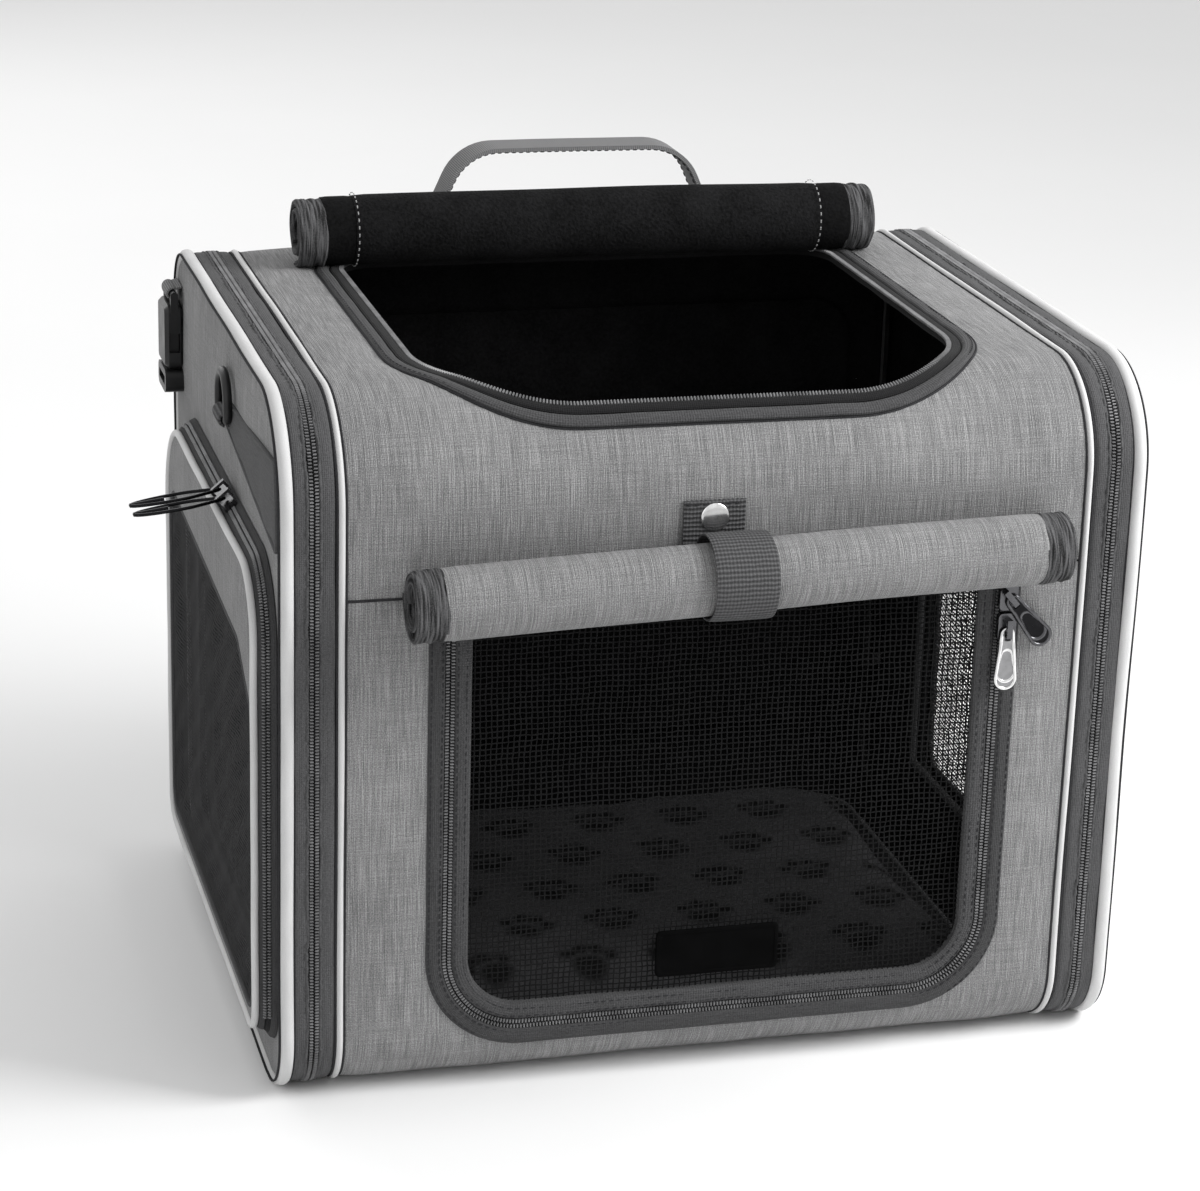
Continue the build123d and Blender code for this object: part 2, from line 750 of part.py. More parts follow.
for name, side in sides.items():
    middle = cross(side * buckle_x, buckle_place, 0)
    with BuildPart() as socket:
        with BuildSketch(middle.offset(-buckle_thickness / 2)):
            with Locations((0, housing_low + buckle_height / 2)):
                RectangleRounded(buckle_width, buckle_height, buckle_corner)
        extrude(amount=buckle_thickness)
        chamfer(socket.edges().filter_by(Plane.YZ), length=buckle_bevel)
        with BuildSketch(Plane.XY.offset(housing_low - overrun)):
            with Locations((side * buckle_x, buckle_place)):
                Rectangle(cavity_thickness, cavity_width)
        extrude(amount=overrun + prong_length + guide_width, mode=Mode.SUBTRACT)
        with BuildSketch(middle.offset(-cavity_thickness / 2)):
            with Locations((0, housing_low + prong_length - buckle_window / 2)):
                Rectangle(buckle_width + overrun, buckle_window)
        extrude(amount=cavity_thickness, mode=Mode.SUBTRACT)
        with BuildSketch(middle.offset(-pin_radius)):
            for end in (-1, 1):
                with Locations((end * (buckle_width - buckle_arm) / 2, housing_top)):
                    Rectangle(buckle_arm, 2 * buckle_drop)
        extrude(amount=buckle_bar)
        with BuildSketch(Plane.XZ.offset(-buckle_place - buckle_width / 2)):
            with Locations((side * buckle_x, buckle_axis_height)):
                Circle(pin_radius)
        extrude(amount=buckle_width)
    finish(socket, f"{name}_buckle_socket")

    latch_top = housing_low - latch_play
    with BuildPart() as latch:
        with BuildSketch(middle.offset(-buckle_thickness / 2)):
            with Locations((0, latch_top - latch_height / 2)):
                RectangleRounded(buckle_width, latch_height, buckle_corner)
                Rectangle(buckle_slot_width, buckle_slot, mode=Mode.SUBTRACT)
        extrude(amount=buckle_thickness)
        with BuildSketch(middle.offset(-prong_thickness / 2)):
            reach = cavity_width / 2 - clearance
            for way in (-1, 1):
                with BuildLine():
                    Polyline(
                        (way * (reach - prong_lean), latch_top - latch_play),
                        (way * reach, latch_top + prong_length - buckle_window),
                        (way * reach, latch_top + prong_length),
                        (way * (reach - prong_width), latch_top + prong_length),
                        (way * (reach - prong_width - prong_lean), latch_top - latch_play), close=True,
                    )
                make_face()
            with Locations((0, latch_top + guide_length / 2)):
                Rectangle(guide_width, guide_length + 2 * latch_play)
        extrude(amount=prong_thickness)
    finish(latch, f"{name}_buckle_latch")

# Boards and pad inside
floor_length = depth - front_bottom_radius - back_bottom_radius
floor_y = (front_bottom_radius - back_bottom_radius) / 2
floor_width = 2 * (band_half - board_margin)
with BuildPart() as base_board:
    with BuildSketch(Plane.XY.offset(wall)):
        with Locations((0, floor_y)):
            RectangleRounded(floor_width, floor_length, board_corner)
    extrude(amount=board_thickness)
finish(base_board, "base_board")

with BuildPart() as back_board:
    with BuildSketch(Plane.XZ.offset(wall - front_face)):
        with Locations((0, (back_board_low + back_board_high) / 2)):
            RectangleRounded(floor_width, back_board_high - back_board_low, board_corner)
    extrude(amount=board_thickness)
finish(back_board, "back_board")

with BuildPart() as floor_pad:
    for rise, inset in zip(pad_rise_shares, pad_inset_shares):
        draw = pad_margin + inset * pad_crown_inset
        with BuildSketch(Plane.XY.offset(wall + board_thickness + rise * pad_thickness)):
            with Locations((0, floor_y)):
                RectangleRounded(floor_width - 2 * draw, floor_length - 2 * draw, pad_corner)
    loft(ruled=True)
finish(floor_pad, "floor_pad")

# Carry handle behind the top roll, on two sewn patches
handle_axis = height + handle_patch_thickness + clearance + handle_width / 2
with BuildPart() as handle_patches:
    for x in (-handle_half, handle_half):
        extrude(ring(-handle_patch_thickness, 0, x - handle_patch_length / 2), amount=handle_patch_length)
    with BuildSketch(Plane.XY.offset(height / 2)):
        with Locations((0, handle_place)):
            Rectangle(width, handle_patch_depth)
    extrude(amount=height, mode=Mode.INTERSECT)
finish(handle_patches, "handle_patches")

with BuildPart() as carry_handle:
    with BuildSketch(Plane.XZ.offset(-handle_place - handle_width / 2)):
        with BuildLine() as arch:
            FilletPolyline(
                (-handle_half, height), (handle_lean - handle_half, height + handle_rise),
                (handle_half - handle_lean, height + handle_rise), (handle_half, height),
                radius=handle_bend,
            )
        trace(line_width=handle_thickness)
    extrude(amount=handle_width)
    with BuildSketch(cross(-width / 2)):
        with Locations((handle_place, handle_axis)):
            Circle(handle_width / 2)
        with Locations((handle_place, handle_axis + height / 2)):
            Rectangle(handle_width, height)
    extrude(amount=width, mode=Mode.INTERSECT)
finish(carry_handle, "carry_handle")


def reach_of(radius):
    """Distance from the back wall to the middle of a tube held by a strap loop."""
    return anchor_thickness + 2 * (clearance + web_thickness) + clearance + radius


def loop(radius):
    """Fixed part of a strap loop about the origin, with its anchor plate towards -X."""
    reach = reach_of(radius)
    inner = radius + clearance
    stub = reach - inner - web_thickness / 2
    with BuildSketch() as drawn:
        add(arc_band(inner, web_thickness, loop_start, loop_end))
        with Locations((anchor_thickness / 2 - reach, 0)):
            Rectangle(anchor_thickness, anchor_height)
        with Locations((stub / 2 - reach, stub_height / 2 - stub_drop)):
            Rectangle(stub, stub_height)
    return drawn.sketch


def flap(radius):
    """Loose part of a strap loop, which laps over the outside of the fixed part."""
    return arc_band(radius + 2 * clearance + web_thickness, web_thickness, flap_start, flap_end)


bar_y = front_face + reach_of(bar_radius)
head_y = front_face + reach_of(head_radius)
with BuildPart() as bar_strap_loops:
    for side in sides.values():
        with BuildSketch(cross(side * bar_place - web_width / 2, bar_y, bar_height)):
            add(loop(bar_radius))
        extrude(amount=web_width)
finish(bar_strap_loops, "bar_strap_loops")

for name, side in sides.items():
    with BuildPart() as bar_flap:
        with BuildSketch(cross(side * bar_place - web_width / 2, bar_y, bar_height)):
            add(flap(bar_radius))
        extrude(amount=web_width)
    finish(bar_flap, f"{name}_bar_strap_flap")

head_plane = Plane(origin=(0, head_y, head_height - web_width / 2), x_dir=(0, 1, 0), z_dir=(0, 0, 1))
with BuildPart() as head_strap_loop:
    with BuildSketch(head_plane):
        add(loop(head_radius))
    extrude(amount=web_width)
finish(head_strap_loop, "head_strap_loop")

with BuildPart() as head_strap_flap:
    with BuildSketch(head_plane):
        add(flap(head_radius))
    extrude(amount=web_width)
finish(head_strap_flap, "head_strap_flap")

print(len(labels), "pieces")
print("tongue hinge", (tongue_back + tongue_front) / 2, tongue_low, "snap", snap_height)
print("bar", bar_y, bar_height, "head", head_y)
print("ring x", ring_x, "buckle x", buckle_x, "handle axis", handle_axis)
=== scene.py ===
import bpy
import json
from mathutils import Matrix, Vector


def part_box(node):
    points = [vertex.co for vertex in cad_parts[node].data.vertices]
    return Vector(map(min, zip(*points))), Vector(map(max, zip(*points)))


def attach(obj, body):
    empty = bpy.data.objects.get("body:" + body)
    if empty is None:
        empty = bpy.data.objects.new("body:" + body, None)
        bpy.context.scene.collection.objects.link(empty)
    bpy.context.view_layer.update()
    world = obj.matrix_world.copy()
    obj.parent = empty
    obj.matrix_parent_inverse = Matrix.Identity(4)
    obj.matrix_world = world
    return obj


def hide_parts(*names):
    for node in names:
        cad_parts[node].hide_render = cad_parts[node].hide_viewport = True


bl_info = {
    "name": "Dog Bicycle Basket",
    "version": (1, 0, 0),
    "blender": (4, 5, 0),
    "location": "3D View > Sidebar > Basket",
    "description": "Sews the cloth, zips, nets and fittings of a dog's bicycle basket onto its packed frame",
    "category": "Add Mesh",
}

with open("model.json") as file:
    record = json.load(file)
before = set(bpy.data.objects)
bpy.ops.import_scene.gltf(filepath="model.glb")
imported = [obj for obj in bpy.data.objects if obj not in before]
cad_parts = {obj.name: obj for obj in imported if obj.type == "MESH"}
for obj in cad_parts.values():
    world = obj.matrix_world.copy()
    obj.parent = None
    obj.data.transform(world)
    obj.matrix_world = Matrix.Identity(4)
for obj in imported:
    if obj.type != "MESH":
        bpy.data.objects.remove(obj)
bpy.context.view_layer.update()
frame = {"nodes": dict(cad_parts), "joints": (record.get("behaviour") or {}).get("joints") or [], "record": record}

import json
from math import acos, atan2, ceil, cos, hypot, pi, radians, sin, tan

import bpy
import numpy as np
from mathutils import Matrix, Vector
from mathutils.geometry import delaunay_2d_cdt

# Lengths below are in millimetres, and meshes are made in metres
MM = 0.001

# Directions, and the place in metres that the camera and the lamps look at
ACROSS = np.array((1.0, 0.0, 0.0))
BACKWARD = np.array((0.0, 1.0, 0.0))
FORWARD = np.array((0.0, -1.0, 0.0))
MIDDLE = (0, 0, 0.15)

# How far the camera stands to the left of the line to that place and above it, in metres
CAMERA_SHIFT = (0.0111052, 0.0130688)


def reach(node):
    """Lowest and highest corner of a solid, in millimetres."""
    return [np.array(corner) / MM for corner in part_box(node)]


# Faces of the body, thickness of its wall and radii of the bends seen from the side
FRONT = reach("front_panel")[0][1]
BACK = reach("back_panel")[1][1]
TOP = reach("top_panel")[1][2]
SEAM = reach("top_panel")[0][2]
BAND = reach("front_panel")[1][0]
SIDE_FACE = reach("right_side_panel")[1][0]
WALL = 4
CORNERS = {"front_foot": 30, "front_top": 42, "back_top": 30, "back_foot": 35}
SIDES = {"left": -1, "right": 1}

# Strips of the two ends, counted outwards from the middle of the basket
INNER_PIPING = BAND + 2.5
STRIPS = ((BAND + 5, BAND + 11.5), (BAND + 15.5, BAND + 22))
END_ZIP = BAND + 13.5
OUTER_PIPING = BAND + 24.5

# Front window and top opening: clear outline, then bound edge, zip and outer tape
WINDOW_LOW, WINDOW_HIGH = reach("front_net")[0], reach("front_net")[1]
WINDOW_CORNER = 24
BOUND_EDGE = 6.5
ZIP_WIDTH = 4
OUTER_TAPE = 7
OPENING_HALF = reach("top_binding")[1][0] - 13
OPENING_FRONT, OPENING_BACK = -130, 96
OPENING_CORNERS = (60, 60, 20, 20)
OPENING_TAPE = 11

# Rolled flaps
ROLL_RADIUS = 16.5
ROLL_OVER_SEAM = 8
ROLL_END = 13
ROLL_TAPE = 13
ROLL_TILT = 0.036
FLAP_THICKNESS, FLAP_PITCH = 1.9, 2.7
BOUND_THICKNESS, BOUND_PITCH = 2.5, 4.3
FLAP_OUTER_TURNS, FLAP_TURNS = 1.1, 3.1
ROLL_FACETS = 44
FLAP_STEP, GATHER_STEP = 6, 0.8

# Strap round the front roll: half its width, how far its tongue stands off and aside, and its cap up
STRAP_HALF = 13
TONGUE_LIFT = 1.3
TONGUE_SHIFT = -5.5
CAP_RAISE = 2.4

# Doors in the two ends: bends, slope of the gusset, overlap inside and zip-free hem at the foot
DOOR_CORNERS = (18, 34, 45, 18)
DOOR_FLARE = {"left": 6, "right": 3}
DOOR_LAP = 12
DOOR_HEM = 14

# Cast pulls: distance between the middles of the round ends, and from the pin to the first of them
PULL_SPAN = 19.8
PULL_START = 2.6

# Rings of a cast pull's dish, as shares of its outline and of half the pull's thickness
DISH_LEVELS = ((1.04, 1.05), (1, 1.25), (0.93, 1.1), (0.86, 0.35), (0.7, 0.12), (0.35, 0.1), (0.02, 0.1))

# Rings of the floor pad, as shares of its outline and of its height
PAD_CORNER = 22
PAD_FACET = 5
PAD_SLACK = ((-1.5, -1.5, 0.1), (1.5, 1.5, 2.5))
PAD_LEVELS = ((0.02, 0.94), (0.3, 0.94), (0.6, 0.93), (0.82, 0.86), (0.93, 0.72), (0.985, 0.5), (0.99, 0.3),
              (0.97, 0.1), (0.93, 0.03), (0.6, 0.02), (0.3, 0.02), (0.02, 0.02))

# Simulation of the floor pad: cloth pressure, how far a point may move, and length
PAD_PRESSURE = 3.0
PAD_GROWTH = 6
SIMULATED_FRAMES = 20

# Half widths of webbing and tabs
TAB_HALF = 8.5
BUCKLE_HALF = 8.4
HANDLE_HALF = 9.8
PATCH_HALF, BOX_HALF = 13, 11
WEB_HALF = 12.5

# D-rings: wire, bow and straight legs
RING_WIRE = 2.0
RING_BOW, RING_LEG = 12, 7

# Carry handle: half the distance between its feet, and how far its corners stand inwards of them
HANDLE_FOOT = 72
HANDLE_LEAN = 20

# Length of a stitch as a share of its pitch, and distance between rows of facets as a share of their size
STITCH_SHARE = 0.68
ROW_SHARE = 0.87

# Scale of a wave texture that has one rib to a unit
RIB_SCALE = 0.31416


def colour_setting(name, description, value):
    """Setting that holds a colour."""
    return bpy.props.FloatVectorProperty(
        name=name, description=description, subtype="COLOR", default=value, min=0, max=1)


def length_setting(name, description, value, low, high):
    """Setting that holds a length in metres."""
    return bpy.props.FloatProperty(
        name=name, description=description, subtype="DISTANCE", unit="LENGTH",
        default=value, min=low, max=high)


def angle_setting(name, description, degrees):
    """Setting that holds an angle."""
    return bpy.props.FloatProperty(
        name=name, description=description, subtype="ANGLE", default=radians(degrees))


def light_setting(name, description, value):
    """Setting that holds the strength of a light."""
    return bpy.props.FloatProperty(name=name, description=description, default=value, min=0)


class BasketColours(bpy.types.PropertyGroup):
    """Colours of the basket's cloths and fittings."""

    linen: colour_setting("Linen", "Light heather cloth of the body", (0.205, 0.205, 0.207))
    linen_thread: colour_setting("Linen thread", "Pale slub threads in the light cloth", (0.33, 0.33, 0.33))
    gusset: colour_setting("Gusset", "Dark cloth beside the zips", (0.078, 0.078, 0.080))
    webbing: colour_setting("Webbing", "Ribbed straps and tabs", (0.075, 0.075, 0.077))
    pale_webbing: colour_setting("Pale webbing", "Carry handle", (0.17, 0.17, 0.172))
    piping: colour_setting("Piping", "Reflective piping", (0.57, 0.57, 0.57))
    lining: colour_setting("Lining", "Black lining inside", (0.004, 0.004, 0.0042))
    zip_tape: colour_setting("Zip tape", "Woven tape beside the teeth", (0.012, 0.012, 0.0125))
    plush: colour_setting("Plush", "Floor pad", (0.055, 0.055, 0.057))
    print_tint: colour_setting("Print", "Paw marks on the floor pad", (0.008, 0.008, 0.008))


class BasketSizes(bpy.types.PropertyGroup):
    """Sizes of the basket's fine detail."""

    tooth_pitch: length_setting(
        "Tooth pitch", "Distance between teeth on one side of a zip", 0.0014, 0.001, 0.004)
    net_pitch: length_setting("Net pitch", "Distance between threads of the nets", 0.0024, 0.001, 0.01)
    net_thread: length_setting("Net thread", "Width of a thread of the nets", 0.00062, 0.0002, 0.002)
    stitch_pitch: length_setting("Stitch pitch", "Distance between stitches", 0.0034, 0.001, 0.01)
    cloth_step: length_setting("Cloth step", "Size of a facet of the cloth panels", 0.005, 0.002, 0.02)
    puff: length_setting("Puff", "How far the padded panels stand out between their seams", 0.0010, 0, 0.005)


class BasketStage(bpy.types.PropertyGroup):
    """Floor, camera and light."""

    floor: colour_setting("Floor", "Colour of the floor", (0.88, 0.88, 0.88))
    azimuth: angle_setting("Azimuth", "Camera's place round the basket", -15.1954)
    elevation: angle_setting("Elevation", "Camera's place above the horizon", 18.8654)
    roll: angle_setting("Roll", "Camera's turn about its own view", 1.6802)
    lens: bpy.props.FloatProperty(
        name="Lens", description="Focal length on a 36 mm sensor", default=102.507, min=10, max=300)
    distance: length_setting("Distance", "From the camera to the basket's middle", 1.55212, 0.1, 20)
    key_power: light_setting("Key light", "Power of the lamp at the right", 21)
    fill_power: light_setting("Fill light", "Power of the lamp at the left", 3)
    back_power: light_setting("Back light", "Power of the lamp behind the basket", 11)
    sky: light_setting("Sky", "Strength of the light from all round", 0.70)


class Shape:
    """Points and faces of a piece in millimetres, with cloth coordinates in metres at the faces' corners."""

    def __init__(self):
        self.points, self.faces, self.cloth, self.finish, self.count = [], [], [], [], 0

    def add(self, points, faces, cloth, finish=0):
        """Add faces, whose cloth coordinates come one row to a corner."""
        self.points.append(np.asarray(points, float).reshape(-1, 3))
        self.faces += [tuple(int(i) + self.count for i in face) for face in faces]
        self.cloth.append(np.asarray(cloth, float).reshape(-1, 2))
        self.finish += [finish] * len(faces)
        self.count += len(self.points[-1])

    def add_cut(self, places, flat, faces, finish=0):
        """Add cut cloth at its places. Its flat points are its cloth coordinates."""
        self.add(places, faces.tolist(), flat[faces].reshape(-1, 2) * MM, finish)

    def keep_off_floor(self):
        """Press the shape flat where it would go below the floor."""
        for points in self.points:
            points[:, 2] = np.maximum(points[:, 2], 0.02)


def piece(name, shape, finish_names, body="basket", stands_for=(), crease=40):
    """Make a shape into an object that rides on a body and stands for solids."""
    mesh = bpy.data.meshes.new(name)
    mesh.from_pydata((np.vstack(shape.points) * MM).tolist(), [], shape.faces)
    cloth = mesh.uv_layers.new(name="cloth")
    cloth.data.foreach_set("uv", np.vstack(shape.cloth).ravel())
    mesh.polygons.foreach_set("material_index", shape.finish)
    mesh.polygons.foreach_set("use_smooth", [True] * len(mesh.polygons))
    mesh.set_sharp_from_angle(angle=radians(crease))
    for finish_name in finish_names:
        mesh.materials.append(finishes()[finish_name])
    mesh.update()
    made = bpy.data.objects.new(name, mesh)
    bpy.context.collection.objects.link(made)
    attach(made, body)
    if stands_for:
        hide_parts(*stands_for)
    return made


def lengths(points, closed=False):
    """Distance along a line of points, from the first to each, and to the first again if closed."""
    line = np.vstack([points, points[:1]]) if closed else np.asarray(points)
    return np.concatenate([[0], np.cumsum(np.linalg.norm(np.diff(line, axis=0), axis=1))])


def even(points, step, closed=False):
    """The same line with its points about a step apart."""
    line = np.vstack([points, points[:1]]) if closed else np.asarray(points, float)
    along = lengths(line)
    count = max(6, round(along[-1] / step))
    places = np.linspace(0, along[-1], count + 1)
    places = places[:-1] if closed else places
    return np.column_stack([np.interp(places, along, column) for column in line.T])


def rounded(corners, radii, step, closed=True):
    """Flat outline through corners with rounded bends."""
    corners = np.array(corners, float)
    points = []
    for i, (corner, radius) in enumerate(zip(corners, radii)):
        if not radius:
            points.append(corner)
            continue
        before, after = corners[i - 1] - corner, corners[(i + 1) % len(corners)] - corner
        before, after = before / np.linalg.norm(before), after / np.linalg.norm(after)
        half = acos(np.clip(before @ after, -1, 1)) / 2
        centre = corner + (before + after) / np.linalg.norm(before + after) * radius / sin(half)
        first, last = corner + before * radius / tan(half), corner + after * radius / tan(half)
        start = atan2(*(first - centre)[::-1])
        turn = (atan2(*(last - centre)[::-1]) - start + pi) % (2 * pi) - pi
        for share in np.linspace(0, 1, max(3, ceil(abs(turn) * radius / step)) + 1):
            a = start + turn * share
            points.append(centre + radius * np.array([cos(a), sin(a)]))
    return even(np.array(points), step, closed)


def headings(points, closed):
    """Unit direction of a line at each of its points."""
    if closed:
        steps = np.roll(points, -1, axis=0) - np.roll(points, 1, axis=0)
    else:
        steps = np.gradient(points, axis=0)
    return steps / np.linalg.norm(steps, axis=1)[:, None]


def ripple(u, v, size, seed):
    """Smooth uneven relief between about -1 and 1, with bumps of about a size."""
    chance = np.random.default_rng(seed)
    total = np.zeros(np.broadcast(u, v).shape)
    for _ in range(12):
        heading, length, phase = chance.uniform(0, (2 * pi, 1, 2 * pi))
        length = size * (0.6 + 1.2 * length)
        total = total + np.sin((u * cos(heading) + v * sin(heading)) * 2 * pi / length + phase)
    return total / 4


def sway(along, size, seed):
    """Smooth uneven relief along one direction."""
    return ripple(along, 0 * along, size, seed)


def swell(gap, width):
    """Rise of stuffed cloth from 0 at its seam to 1 well inside it."""
    return 1 - np.exp(-(gap / width) ** 2)


def at_x(x, flat):
    """A flat line of depths and heights, set at x."""
    return np.column_stack([np.broadcast_to(x, len(flat)), flat])


def round_away(turn):
    """Unit directions round the X axis, counted from the back upwards."""
    return np.column_stack([0 * turn, np.cos(turn), np.sin(turn)])


def across_away(turn, side):
    """Unit directions round the Y axis, counted from a side upwards."""
    return np.column_stack([side * np.cos(turn), 0 * turn, np.sin(turn)])


def lattice(shape, rings, closed=False, tube=False, finish=0, flip=False):
    """Join a grid of points into faces, with cloth coordinates measured along it."""
    rows, columns = rings.shape[:2]
    along = lengths(rings.mean(axis=1), closed) * MM
    across = lengths(rings[0], tube) * MM
    i, j = np.meshgrid(np.arange(rows if closed else rows - 1),
                       np.arange(columns if tube else columns - 1), indexing="ij")
    i, j = i.ravel(), j.ravel()
    far_i, far_j = (i + 1) % rows, (j + 1) % columns
    near, far = i * columns, far_i * columns
    faces = np.column_stack([near + j, far + j, far + far_j, near + far_j])
    u = np.column_stack([along[i], along[i + 1], along[i + 1], along[i]])
    v = np.column_stack([across[j], across[j], across[j + 1], across[j + 1]])
    cloth = np.stack([u, v], axis=2)
    if flip:
        faces, cloth = faces[:, ::-1], cloth[:, ::-1]
    shape.add(rings, faces.tolist(), cloth, finish)


def sweep(shape, centre, across, up, section, closed=False, tube=False, finish=0, relief=None, capped=False):
    """Carry a section, given as across and up, along a line of places."""
    section = np.array(section, float)
    across = np.broadcast_to(across, centre.shape)
    up = np.broadcast_to(up, centre.shape)
    rings = (centre[:, None] + section[None, :, :1] * across[:, None] + section[None, :, 1:] * up[:, None])
    if relief is not None:
        along = lengths(centre)[:, None]
        rings = rings + relief(along, section[None, :, 0])[:, :, None] * up[:, None]
    turns = np.einsum("ij,ij->i", np.cross(headings(centre, closed), across), up).mean()
    x, y = section.T
    loop_area = np.sum(x * np.roll(y, -1) - np.roll(x, -1) * y)
    flip = (turns > 0) == (loop_area > 0) if tube else turns > 0
    lattice(shape, rings, closed, tube, finish, flip)
    if capped:
        count = len(section)
        for ring, way in ((rings[0], 1 if flip else -1), (rings[-1], -1 if flip else 1)):
            face = list(range(count))[::way]
            shape.add(ring, [face], section[::way] * MM, finish)


def hoop(shape, centre, across, up, section, **more):
    """Sweep a closed section round a closed line."""
    sweep(shape, centre, across, up, section, closed=True, tube=True, **more)


def strap(shape, centre, across, up, section, **more):
    """Sweep a closed section along an open line and close its ends."""
    sweep(shape, centre, across, up, section, tube=True, capped=True, **more)


def bead(width, height, sink=1, count=14):
    """Rounded section of a cord or piping, sunk a little into the cloth."""
    turn = np.linspace(0, 2 * pi, count, endpoint=False)
    return np.column_stack([width / 2 * np.cos(turn), (height + sink) / 2 * (np.sin(turn) + 1) - sink])


def slab(start, end, low, high, crown=0.0, count=8, edge=0.5):
    """Section of a flat strip with softened edges and a little crown."""
    share = np.linspace(0, 1, count)
    across = start + (end - start) * share
    top = high + crown * (1 - (2 * share - 1) ** 2)
    top[[0, -1]] -= edge
    over = np.column_stack([across, top])
    under = np.column_stack([across[::-1], np.full(count, float(low))])
    return np.vstack([under, over])


def stamp(shape, template, faces, centre, along, across, up, finish=0):
    """Repeat a small form at many places."""
    template = np.array(template, float)
    along, across, up = (np.broadcast_to(a, centre.shape) for a in (along, across, up))
    points = (centre[:, None] + template[None, :, :1] * along[:, None]
              + template[None, :, 1:2] * across[:, None] + template[None, :, 2:] * up[:, None])
    size = len(template)
    every = [tuple(i + size * k for i in face) for k in range(len(centre)) for face in faces]
    corners = np.concatenate([template[list(face), :2] for face in faces]) * MM
    shape.add(points, every, np.tile(corners, (len(centre), 1)), finish)


BAR_FACES = [(0, 1, 7, 6), (1, 2, 8, 7), (2, 3, 9, 8), (3, 4, 10, 9), (4, 5, 11, 10),
             (5, 4, 3, 2, 1, 0), (6, 7, 8, 9, 10, 11)]


def bar(length, width, height, start=0.0):
    """Small rounded bar, used for zip teeth."""
    profile = [(-0.5, 0), (-0.5, 0.55), (-0.22, 1), (0.22, 1), (0.5, 0.55), (0.5, 0)]
    near = [(x * length, start, z * height) for x, z in profile]
    far = [(x * length, start + width, z * height) for x, z in profile]
    return near + far


def teeth(shape, centre, along, across, up, finish=0):
    """Two rows of zip teeth along a line."""
    for row, way in ((slice(0, None, 2), 1), (slice(1, None, 2), -1)):
        lean = along[row] * 0.96 + across[row] * 0.28 * way
        stamp(shape, bar(0.9, 1.45, 1.05, 0.38), BAR_FACES, centre[row], lean,
              across[row] * way, up[row], finish)


def stitches(shape, line, up, pitch, closed=False, finish=0):
    """A row of stitches along a line that lies on the cloth."""
    along = headings(line, closed)
    size = pitch * STITCH_SHARE
    foot, crown = (size / 2, 0.3, 0), (size * 0.3, 0.2, 0.34)
    form = [(x * length, y * width, height) for length, width, height in (foot, crown)
            for x, y in ((-1, -1), (-1, 1), (1, 1), (1, -1))]
    faces = [(4, 7, 6, 5), (0, 4, 5, 1), (1, 5, 6, 2), (2, 6, 7, 3), (3, 7, 4, 0)]
    stamp(shape, form, faces, line, along, np.cross(up, along), up, finish)


def seam_shade_line(shape, centre, across, up, closed=False, width=0.7):
    """Narrow dark line where two cloths meet, which paints the shade in the seam's groove."""
    section = slab(-width / 2, width / 2, -0.6, 0.12, 0.1, 3, 0.1)
    sweep(shape, centre, across, up, section, closed=closed, tube=True)


def inside(points, loop):
    """Which flat points lie inside a closed outline."""
    x, y = points[:, 0][:, None], points[:, 1][:, None]
    x0, y0 = loop[:, 0], loop[:, 1]
    x1, y1 = np.roll(x0, -1), np.roll(y0, -1)
    with np.errstate(divide="ignore", invalid="ignore"):
        hit = ((y0 > y) != (y1 > y)) & (x < (x1 - x0) * (y - y0) / (y1 - y0) + x0)
    return hit.sum(axis=1) % 2 == 1


def gap_to(points, loops):
    """Distance from flat points to the nearest of some outlines."""
    border = np.vstack(loops)
    found = np.empty(len(points))
    for start in range(0, len(points), 2000):
        part = points[start:start + 2000]
        found[start:start + 2000] = np.linalg.norm(part[:, None] - border[None], axis=2).min(axis=1)
    return found


def in_cloth(points, loops):
    """Which flat points lie inside the first outline and outside the others."""
    keep = inside(points, loops[0])
    for hole in loops[1:]:
        keep &= ~inside(points, hole)
    return keep


def cut_cloth(outer, holes, step):
    """Fill a flat outline round its holes with even facets. Gives points, faces and distance to the edges."""
    loops = [even(loop, step * 0.8, True) for loop in (outer, *holes)]
    low, high = outer.min(axis=0), outer.max(axis=0)
    grid = []
    for k, y in enumerate(np.arange(low[1] + step / 2, high[1], step * ROW_SHARE)):
        x = np.arange(low[0] + step / 4 * (1 + 2 * (k % 2)), high[0], step)
        grid.append(np.column_stack([x, np.full(len(x), y)]))
    grid = np.vstack(grid)
    grid = grid[in_cloth(grid, loops)]
    grid = grid[gap_to(grid, loops) > step * 0.55]
    edges, start = [], 0
    for loop in loops:
        edges += [(start + i, start + (i + 1) % len(loop)) for i in range(len(loop))]
        start += len(loop)
    points = np.vstack([*loops, grid])
    result = delaunay_2d_cdt([Vector(p) for p in points], edges, [], 0, 1e-5)
    points = np.array([tuple(p) for p in result[0]])
    faces = np.array([face for face in result[2] if len(face) == 3])
    return points, faces[in_cloth(points[faces].mean(axis=1), loops)], gap_to(points, loops)


def face_ways(places, faces):
    """Directions that three-cornered faces look in, each as long as twice its face's area."""
    first = places[faces[:, 0]]
    return np.cross(places[faces[:, 1]] - first, places[faces[:, 2]] - first)


def turned(faces, keep):
    """The same faces, turned over unless they are to be kept."""
    return faces if keep else faces[:, ::-1]


